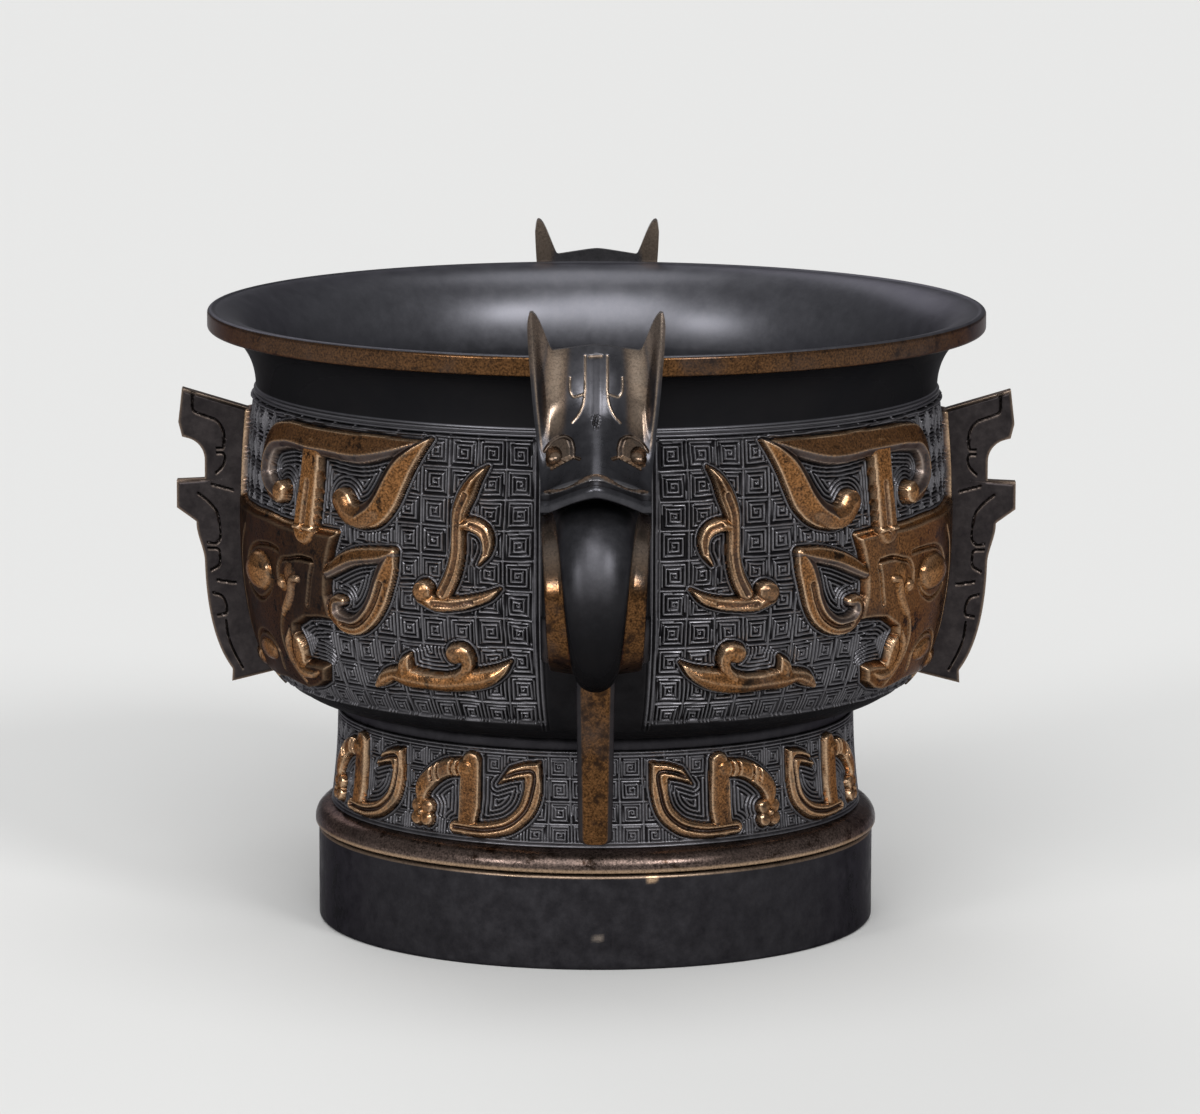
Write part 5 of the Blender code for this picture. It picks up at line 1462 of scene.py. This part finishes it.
def head_field(across, down):
    """Cuts the lines of the forehead and shapes the eyes, nose and lip of the beast."""
    s = across * FACE_ACROSS
    q = down * FACE_LENGTH
    field = Field(s, q, lambda place: place * FACE_LENGTH)

    def placed(points, side):
        return [(side * point[0] * FACE_ACROSS, point[1]) for point in points]

    aside = np.abs(across)
    channel = channel_gilt_and_highlight(aside, down)
    # the ears' inner faces are gilt, and paled as painted light
    ear = ease(*EAR_GILT_AND_LIGHT_RISE, crown_ear(across, down))
    upper = 1.0 - ease(*HEAD_UPPER_END, down)
    # painted highlight: a pale gilt line down each outer edge of the upper head
    rim_highlight = ease(*HEAD_RIM_START, aside) * (1.0 - ease(*HEAD_RIM_END, aside)) * upper
    field.gilt = np.maximum.reduce([channel, EAR_GILT * ear, HEAD_RIM_HIGHLIGHT_GILT * rim_highlight])
    field.pale = np.maximum.reduce([channel, EAR_HIGHLIGHT * ear, HEAD_RIM_HIGHLIGHT * rim_highlight])
    chip_across, chip_down, chip_half, chip_length = FOREHEAD_CHIP
    from_chip = np.hypot((across - chip_across) / chip_half, (down - chip_down) / chip_length)
    chip = ease(0.0, CHIP_FADE, 1.0 - from_chip)
    field.height += CHIP_DEPTH * wander(s, q, CHIP_SEED, CHIP_GRAIN) * chip
    # the chip is darker, and painted shade darkens each side face of the upper head
    field.dark = np.maximum(CHIP_DARK * chip, HEAD_SIDE_SHADE * ease(*HEAD_SIDE, aside) * upper)
    field.height += LIP_PROUD * ease(*LIP_START, down)
    for side in (-1, 1):
        field.sink(placed(EYE_SOCKET, side), **EYE_HOLLOW)
        eye_s, eye_down = placed([EYE_PLACE], side)[0]
        field.knob(eye_s, eye_down + EYE_RING_DROP, *EYE_RING)
        field.knob(eye_s, eye_down, *EYE_BALL)
        for points, gilt in EYE_LINES:
            field.line(placed(points, side), EYE_LINE_HALF, EYE_LINE_RISE, gilt)
        for points in (FOREHEAD_LINE, FOREHEAD_HOOK):
            field.groove(placed(points, side), **FOREHEAD_CUT)
    for points, cut in MIDDLE_CUTS:
        field.groove(placed(points, 1), **cut)
    return field


def channel_gilt_and_highlight(aside, down):
    """Pale gilding in the channel between forehead and ear, lightened as painted highlight."""
    middle = CHANNEL_MIDDLE + CHANNEL_DRIFT * down
    band = (1.0 - ease(0.0, CHANNEL_HALF, np.abs(aside - middle))) * (1.0 - ease(*CHANNEL_END, down))
    return CHANNEL_GILT_AND_HIGHLIGHT * band * (1.0 - ease(*CHANNEL_EAR, crown_ear(aside, down)))


def crown_ear(across, down):
    """How far the ear stands over the crown at a place of the face."""
    return ear_rise(np.abs(across * head_half(down))) * (1.0 - np.minimum(down / EAR_BLEND, 1.0)) ** 2


def head_tile():
    """Face, lip, throat and neck of the beast and its back against the bowl, as two grids with finishes."""
    across, down = np.meshgrid(np.linspace(-1.0, 1.0, FACE_COLUMNS), np.linspace(0.0, 1.0, FACE_ROWS))
    face = np.stack(head_surface(across, down), axis=-1)
    field = head_field(across, down)
    normal = np.cross(np.gradient(face, axis=1), np.gradient(face, axis=0))
    normal /= np.linalg.norm(normal, axis=-1, keepdims=True)
    border = ease(0.0, FACE_BORDER, 1.0 - np.abs(across))
    face = face - normal * (field.height * border)[..., None]
    rows = list(face)
    lip = face[-1]
    for turn in np.linspace(0.0, math.pi, LIP_ROWS)[1:]:
        rows.append(lip + [0.0, LIP_SWELL * math.sin(turn), -LIP_ROLL * (1 - math.cos(turn)) / 2])
    last = rows[-1]
    for share in np.linspace(0.0, 1.0, THROAT_ROWS)[1:]:
        narrow = 1.0 - THROAT_NARROWING * share
        rows.append(last * [narrow, 1.0, 1.0] - [0.0, THROAT_DEPTH * share, 0.0])
    throat = rows[-1]
    for share in np.linspace(0.0, 1.0, NECK_ROWS)[1:]:
        neck = throat.copy()
        neck[:, 2] = mix(throat[:, 2], LOOP_TOP + STRAP_THICKNESS / 2, share)
        rows.append(neck)
    front = np.array(rows)
    behind = front.copy()
    behind[..., 1] = np.sqrt((bowl_outer(front[..., 2]) + SEAM) ** 2 - front[..., 0] ** 2)
    below = ((0, len(front) - FACE_ROWS), (0, 0))
    dark_and_mouth_shadow = np.pad(field.dark, below)
    # painted shadow: the throat and neck under the lip are near-black
    dark_and_mouth_shadow[MOUTH_SHADOW_ROW:] = 1.0
    worn = np.maximum(field.pale, rubbed_and_highlit(field.height))
    tags = {"gilt": np.pad(field.gilt, below), "groove": dark_and_mouth_shadow, "worn": np.pad(worn, below)}
    # painted light: the back of the head is lightened, and its ears more, along with their gilding
    ears = np.pad(ease(*EAR_BACK_WEAR_AND_LIGHT, crown_ear(across, down)), below)
    return front, behind, tags, {"gilt": EAR_BACK_GILT * ears, "worn": mix(BACK_PAINTED_LIGHT, 1.0, ears)}


LONGEST_ROUND = 0.45


def rounded(corners, radius, count):
    """A closed outline with its corners rounded."""
    corners = np.array(corners, float)
    made = []
    for corner, left, right in zip(corners, np.roll(corners, 1, axis=0), np.roll(corners, -1, axis=0)):
        to_left = left - corner
        to_right = right - corner
        start = corner + to_left * min(radius / np.linalg.norm(to_left), LONGEST_ROUND)
        end = corner + to_right * min(radius / np.linalg.norm(to_right), LONGEST_ROUND)
        for share in np.linspace(0.0, 1.0, count):
            made.append(start * (1 - share) ** 2 + corner * 2 * share * (1 - share) + end * share**2)
    return np.array(made)


def loop_stations():
    """Reach, height, outward direction and root share along the loop, from the mouth round to the belly."""
    half_gap = LOOP_GAP_HEIGHT / 2
    wall = float(belly_radius(LOOP_FLOOR - BOWL_BASE)) + SEAM
    top_wall = float(belly_radius(LOOP_TOP - BOWL_BASE)) + SEAM + LOOP_TOP_PLAY
    top_steps, bend_steps, foot_steps = LOOP_STEPS
    stations = []
    for reach in np.linspace(top_wall, LOOP_CENTRE, top_steps)[:-1]:
        stations.append((reach, LOOP_TOP, 0.0, 1.0, 0.0))
    for turn in np.linspace(QUARTER, -QUARTER, bend_steps):
        normal = Vector((math.cos(turn) / LOOP_REACH, math.sin(turn) / half_gap)).normalized()
        reach = LOOP_CENTRE + LOOP_REACH * math.cos(turn)
        stations.append((reach, LOOP_TOP - half_gap * (1 - math.sin(turn)), *normal, 0.0))
    for reach in np.linspace(LOOP_CENTRE, wall, foot_steps)[1:]:
        root = float(ease(0.0, 1.0, (wall + ROOT_LENGTH - reach) / ROOT_LENGTH))
        stations.append((reach, LOOP_FLOOR, 0.0, -1.0, root))
    return stations


def loop_rings():
    """Rings of the strap with its half-round rib, and the gilding on the strap's edges."""
    stations = np.array(loop_stations())
    share = np.linspace(0.0, 1.0, len(stations))
    root = stations[:, 4]
    strap = mix(*STRAP_HALF_WIDTHS, share) + ROOT_FLARE * root**ROOT_POWER
    rib = mix(*RIB_HALF_WIDTHS, share)
    thick = STRAP_THICKNESS + STRAP_THICKENING * ease(*STRAP_THICKENS, share)
    collar = raised_line(share, COLLAR_PLACE, COLLAR_FLANK)
    swell = RIB_SWELL + SHOULDER_SWELL * (1.0 - ease(*SHOULDER_FADES, share)) + COLLAR_RISE * collar
    rings = []
    for k, (reach, height, out, up) in enumerate(stations[:, :4]):
        low = -ROOT_RISE * root[k]
        left = [(-strap[k], low), (-strap[k], thick[k] - STRAP_EDGE), (-rib[k] - RIB_CREASE, thick[k])]
        top = [(rib[k] * math.cos(turn), thick[k] + swell[k] * math.sin(turn)) for turn in RIB_TURNS]
        ring = rounded(left + top + [(-x, y) for x, y in reversed(left)], STRAP_EDGE, 3)
        rings.append(np.stack([ring[:, 0], reach + out * ring[:, 1], height + up * ring[:, 1]], axis=-1))
    rings = np.array(rings)

    beside = np.abs(rings[..., 0]) > rib[:, None]
    kept = mix(STRAP_GILT_LEAST, 1.0, ease(*STRAP_GILT_STARTS, share))
    kept = kept * (1.0 - STRAP_GILT_LOSS * ease(*STRAP_GILT_FADES, share)) * (1.0 - root)
    # painted highlight near the top of the strap; painted shade on its lower part and deepening down the rib
    bare_and_highlit = STRAP_HIGHLIGHT * ease(*STRAP_HIGHLIGHT_STARTS, share) * (1.0 - ease(*STRAP_HIGHLIGHT_FADES, share))
    strap_shade = STRAP_SHADE * ease(*STRAP_SHADE_STARTS, share)
    rib_shade = mix(*RIB_SHADE, ease(*RIB_SHADE_STARTS, share))
    finish = {
        "gilt": beside * kept[:, None],
        "groove": np.where(beside, strap_shade[:, None], rib_shade[:, None]),
        "worn": np.where(beside, bare_and_highlit[:, None], COLLAR_HIGHLIGHT * collar[:, None]),
    }
    return rings, finish


def tab_rings():
    """Rings of the flat tab that hangs below the loop, its lower corners rounded, and its gilding."""
    top = LOOP_FLOOR - STRAP_THICKNESS / 2
    foot = LOOP_FLOOR - STRAP_THICKNESS - TAB_LENGTH
    straight = np.linspace(top, foot + TAB_CORNER, TAB_ROWS)
    rings = []
    faces = []
    for height in [*straight, *(foot + TAB_CORNER * np.linspace(0.8, 0.0, TAB_CORNER_ROWS))]:
        share = (top - height) / (top - foot)
        near_foot = max(TAB_CORNER - (height - foot), 0.0)
        half = mix(*TAB_HALF_WIDTHS, share) - TAB_CORNER + math.sqrt(TAB_CORNER**2 - near_foot**2)
        deep = TAB_THICKNESS - TAB_THINNING * near_foot / TAB_CORNER
        right = [(half - TAB_BEVEL, deep), (half, deep - TAB_BEVEL), (half, SEAM)]
        ring = rounded([(-x, y) for x, y in reversed(right)] + right, TAB_ROUND, 3)
        rings.append(np.stack([ring[:, 0], LOOP_CENTRE + ring[:, 1], np.full(len(ring), height)], axis=-1))
        faces.append(ring[:, 1] > deep - TAB_FACE_DEPTH)
    finish = {"gilt": np.where(faces, 1.0, TAB_SIDE_GILT), "groove": np.where(faces, 0.0, TAB_SIDE_DARK)}
    return np.array(rings), finish


def handle_mesh(name, end):
    """The whole casting, at the front or at the rear."""
    skin = Skin()
    outward = np.array([-end, end, 1.0])
    front, behind, tags, back_tags = head_tile()
    tile(skin, front * outward, behind * outward, False, tags, *HEAD_STRIP, HEAD_BACK_STRIDE, back_tags)
    for (left, right), (rings, finish) in ((LOOP_STRIP, loop_rings()), (TAB_STRIP, tab_rings())):
        middle = (left + right) / 2
        caps = ((left, 0.92, middle - 0.01, 1.0), (middle + 0.01, 0.92, right, 1.0))
        ringed(skin, rings * outward, (left, 0.0, right, 0.9), caps, finish)
    return skin.mesh(name, CAST_SHARP)


for handle_name, handle_end in (("front_handle", -1), ("rear_handle", 1)):
    cast = f"{handle_name}_cast"
    shown(cast, handle_mesh(cast, handle_end), HANDLE_BRONZE, "handle_bronze", handle_name)

# Flanges: two hooks with a notch between, cut with hooked lines

FLANGE_HALF = 2.1
FLANGE_BODY = 9.2
FLANGE_TAIL = 10.9
FLANGE_HOOK = 14.6
FLANGE_TOP = 58.8
FLANGE_BOTTOM = 4.5
FLANGE_TOP_SLOPE = 4.2
FLANGE_BOTTOM_SLOPE = 2.6
HOOK_HEIGHT = 5.8
NOTCH_TOP = 52.8
NOTCH_BOTTOM = 44.0
NOTCH_ROUND = 4.6
HOOK_FILLET = 1.8
HOOK_FILLET_DROP = 2.9
HOOK_FILLET_RUN = 0.25
HOOK_LEAN = 0.8
HOOK_POINT = 3.2
TONGUE_DEPTH = 1.2
NOTCH_POINTS = 16
TAIL_POINTS = 40
FLANGE_ROWS = 250
FLANGE_COLUMNS = 64
FLANGE_BEVEL = 0.55
FLANGE_BEVEL_RUN = 0.8
FLANGE_WORN_RUN = 0.7
FLANGE_TIP = 0.05
FLANGE_EDGE_GILT = 0.4
FLANGE_EDGE_WEAR = 0.55
FLANGE_LINE_DARK = 0.35
FLANGE_LINE_PITCH = 0.2
FLANGE_LINE_DEPTH = 0.6
FLANGE_LINE_FLANK = (0.05, 0.25)
FLANGE_GLINT = 0.6
FLANGE_GLINT_DROP = 0.42
FLANGE_LINES = [
    [
        (83.1, 109.2), (83.1, 107.4), (83.0, 105.7), (80.4, 104.4), (78.1, 103.4), (76.8, 101.4),
        (76.6, 99.1), (76.9, 97.8), (78.1, 97.7),
    ],
    [(78.1, 96.7), (76.8, 96.6), (76.6, 94.8), (77.5, 93.3), (78.3, 92.6)],
    [(74.8, 89.0), (77.0, 89.6), (79.2, 90.2)],
    [(82.0, 88.3), (79.9, 86.6), (78.1, 84.2), (77.6, 81.3), (77.6, 78.8), (78.2, 78.0), (80.1, 78.0)],
    [(80.0, 76.9), (77.8, 76.5), (77.6, 75.0), (77.7, 73.5), (79.4, 72.3)],
    [(74.4, 69.7), (76.2, 69.9), (78.1, 70.2)],
    [(79.0, 67.5), (77.2, 66.8), (76.4, 65.3), (76.4, 63.3), (78.1, 62.9)],
    [(76.4, 61.7), (76.0, 58.6), (74.8, 55.2), (73.0, 51.8)],
]


def flange_edge():
    """Level and x of the outer edge of the right flange, from top to bottom."""
    hook = BELLY_RADIUS + FLANGE_HOOK
    body = BELLY_RADIUS + FLANGE_BODY
    outer = [(FLANGE_TOP + FLANGE_TOP_SLOPE, hook - HOOK_LEAN), (NOTCH_TOP + HOOK_POINT, hook)]
    for turn in np.linspace(QUARTER, math.pi, NOTCH_POINTS):
        level = NOTCH_TOP - NOTCH_ROUND * (1 - math.sin(turn))
        outer.append((level, body + NOTCH_ROUND * (1 + math.cos(turn))))
    outer += [(NOTCH_BOTTOM + FLANGE_TIP, body), (NOTCH_BOTTOM, hook + HOOK_LEAN / 2)]
    outer.append((NOTCH_BOTTOM - HOOK_HEIGHT, hook + HOOK_LEAN / 2))
    tail = FLANGE_BOTTOM - FLANGE_BOTTOM_SLOPE
    for share in np.linspace(0.0, 1.0, TAIL_POINTS):
        level = mix(NOTCH_BOTTOM - HOOK_HEIGHT - HOOK_FILLET_DROP, tail, share)
        swell = HOOK_FILLET * (1 - ease(0.0, HOOK_FILLET_RUN, share))
        out = mix(FLANGE_BODY, FLANGE_TAIL, share) + swell
        outer.append((level, float(belly_radius(max(level, FLANGE_BOTTOM))) + out))
    return np.array(outer)


def flange_grid():
    """x and z over one side of the right flange, and how far each place is in from its outline."""
    outer = flange_edge()
    levels = np.linspace(outer[0, 0], outer[-1, 0], FLANGE_ROWS)
    x_out = np.interp(-levels, -outer[:, 0], outer[:, 1])
    root = belly_radius(np.clip(levels, FLANGE_BOTTOM, FLANGE_TOP)) + FLANGE_RIB_HEIGHT - TONGUE_DEPTH
    over = np.clip((levels - FLANGE_TOP) / FLANGE_TOP_SLOPE, 0.0, 1.0)
    under = np.clip((FLANGE_BOTTOM - levels) / FLANGE_BOTTOM_SLOPE, 0.0, 1.0)
    x_in = mix(mix(root, outer[0, 1] - FLANGE_TIP, over), outer[-1, 1] - FLANGE_TIP, under)
    x = mix(x_in[:, None], x_out[:, None], np.linspace(0.0, 1.0, FLANGE_COLUMNS)[None, :])
    z = np.repeat(BOWL_BASE + levels[:, None], FLANGE_COLUMNS, axis=1)
    far_side = np.stack([x_out, z[:, 0]], axis=-1)
    near_side = np.stack([x_in, z[:, 0]], axis=-1)
    outline = np.concatenate([far_side, near_side[::-1]])[::2]
    return x, z, -outline_gap(x, z, outline)


def flange_cuts(x, z, drop):
    """Depth share of the hooked lines at each place, with the lines moved down by a drop."""
    cut = np.zeros(x.shape)
    for points in FLANGE_LINES:
        for line_x, line_z in smooth_path(points, FLANGE_LINE_PITCH):
            gap = np.hypot(x - line_x, z - line_z + drop)
            cut = np.maximum(cut, 1.0 - ease(*FLANGE_LINE_FLANK, gap))
    return cut


def flange_mesh(name, side):
    """A notched plate with bevelled edges and cut lines, at the left or at the right."""
    x, z, depth_in = flange_grid()
    cut = flange_cuts(x, z, 0.0)
    bevel = FLANGE_BEVEL * (1.0 - ease(0.0, FLANGE_BEVEL_RUN, depth_in))
    half = FLANGE_HALF - bevel - FLANGE_LINE_DEPTH * cut
    edge = 1.0 - ease(0.0, FLANGE_WORN_RUN, depth_in)
    lit = flange_cuts(x, z, FLANGE_GLINT_DROP) * (1.0 - cut)
    worn = np.maximum(FLANGE_EDGE_WEAR * edge, FLANGE_GLINT * lit)
    tags = {"gilt": FLANGE_EDGE_GILT * edge, "groove": FLANGE_LINE_DARK * cut, "worn": worn}
    skin = Skin()
    near = skin.add(np.stack([side * x, -half, z], axis=-1), **tags)
    far = skin.add(np.stack([side * x, half, z], axis=-1), **tags)
    skin.sheet(near, FLANGE_SIDES[0], side < 0)
    skin.sheet(far, FLANGE_SIDES[1], side > 0)
    borders = [(near[0], far[0]), (far[-1], near[-1]), (far[:, 0], near[:, 0]), (near[:, -1], far[:, -1])]
    for box, (one, other) in zip(FLANGE_BORDERS, borders):
        skin.sheet(np.stack([one, other], axis=1), box, side < 0)
    return skin.mesh(name, TURNED_SHARP)


for flange_name, flange_side in (("left_flange", -1), ("right_flange", 1)):
    cast = f"{flange_name}_cast"
    shown(cast, flange_mesh(cast, flange_side), FLANGE_BRONZE, "flange_bronze", flange_name)

# Rivets keep the shape of the frame and take a bronze of their own
for end in ("front", "rear"):
    for level in ("upper", "lower"):
        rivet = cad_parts[f"{end}_{level}_rivet"]
        rivet.data.materials.clear()
        rivet.data.materials.append(RIVET_BRONZE)


# Floor, light and camera

FLOOR_HALF = 12.0
FLOOR_COLOUR = (0.72, 0.72, 0.71, 1.0)
FLOOR_SPECULAR = 0.1
SKY_COLOUR = (0.90, 0.91, 0.93, 1.0)
SKY_STRENGTH = 0.30
# Lamps as (name, direction that they shine from, strength, width in degrees)
LAMPS = (
    ("key", (-0.08, -1.05, 0.78), 1.60, 37),
    ("left", (-0.85, -1.00, 0.48), 0.75, 12),
    ("right", (0.60, -0.95, 0.68), 1.05, 15),
    ("top", (0.05, 0.10, 1.18), 0.70, 38),
    ("rear", (-0.40, 1.15, 0.78), 0.45, 31),
)
CAMERA_PLACE = (0.00081, -1.44782, 0.30626)
CAMERA_PITCH = 0.15853
CAMERA_ROLL = 0.00244
CAMERA_LENS = 212.76
SENSOR_WIDTH = 36.0
VIEW_END = 100.0

floor_mesh = bpy.data.meshes.new("floor")
floor_corners = [(x * FLOOR_HALF, y * FLOOR_HALF, 0.0) for x, y in ((-1, -1), (1, -1), (1, 1), (-1, 1))]
floor_mesh.from_pydata(floor_corners, [], [(0, 1, 2, 3)])
floor_paint, floor_shader = nodes_of("pale_floor")
floor_shader.inputs["Base Color"].default_value = FLOOR_COLOUR
floor_shader.inputs["Roughness"].default_value = 1.0
floor_shader.inputs["Specular IOR Level"].default_value = FLOOR_SPECULAR
floor_mesh.materials.append(floor_paint)
floor = in_scene("floor", floor_mesh)

world = bpy.data.worlds.new("studio")
world.use_nodes = True
bpy.context.scene.world = world
sky = world.node_tree.nodes["Background"]
sky.inputs["Color"].default_value = SKY_COLOUR
sky.inputs["Strength"].default_value = SKY_STRENGTH

for lamp_name, place, strength, width in LAMPS:
    light = bpy.data.lights.new(lamp_name, "SUN")
    light.energy = strength
    light.angle = math.radians(width)
    lamp = in_scene(lamp_name, light)
    lamp.location = place
    lamp.rotation_euler = Vector(place).to_track_quat("Z", "Y").to_euler()

view = bpy.data.cameras.new("camera")
view.sensor_fit = "HORIZONTAL"
view.sensor_width = SENSOR_WIDTH
view.lens = CAMERA_LENS
view.clip_end = VIEW_END
camera = in_scene("camera", view)
tilt = Matrix.Rotation(math.pi / 2 - CAMERA_PITCH, 4, "X") @ Matrix.Rotation(CAMERA_ROLL, 4, "Z")
camera.matrix_world = Matrix.Translation(CAMERA_PLACE) @ tilt
bpy.context.scene.camera = camera
bpy.context.scene.view_settings.view_transform = "Standard"
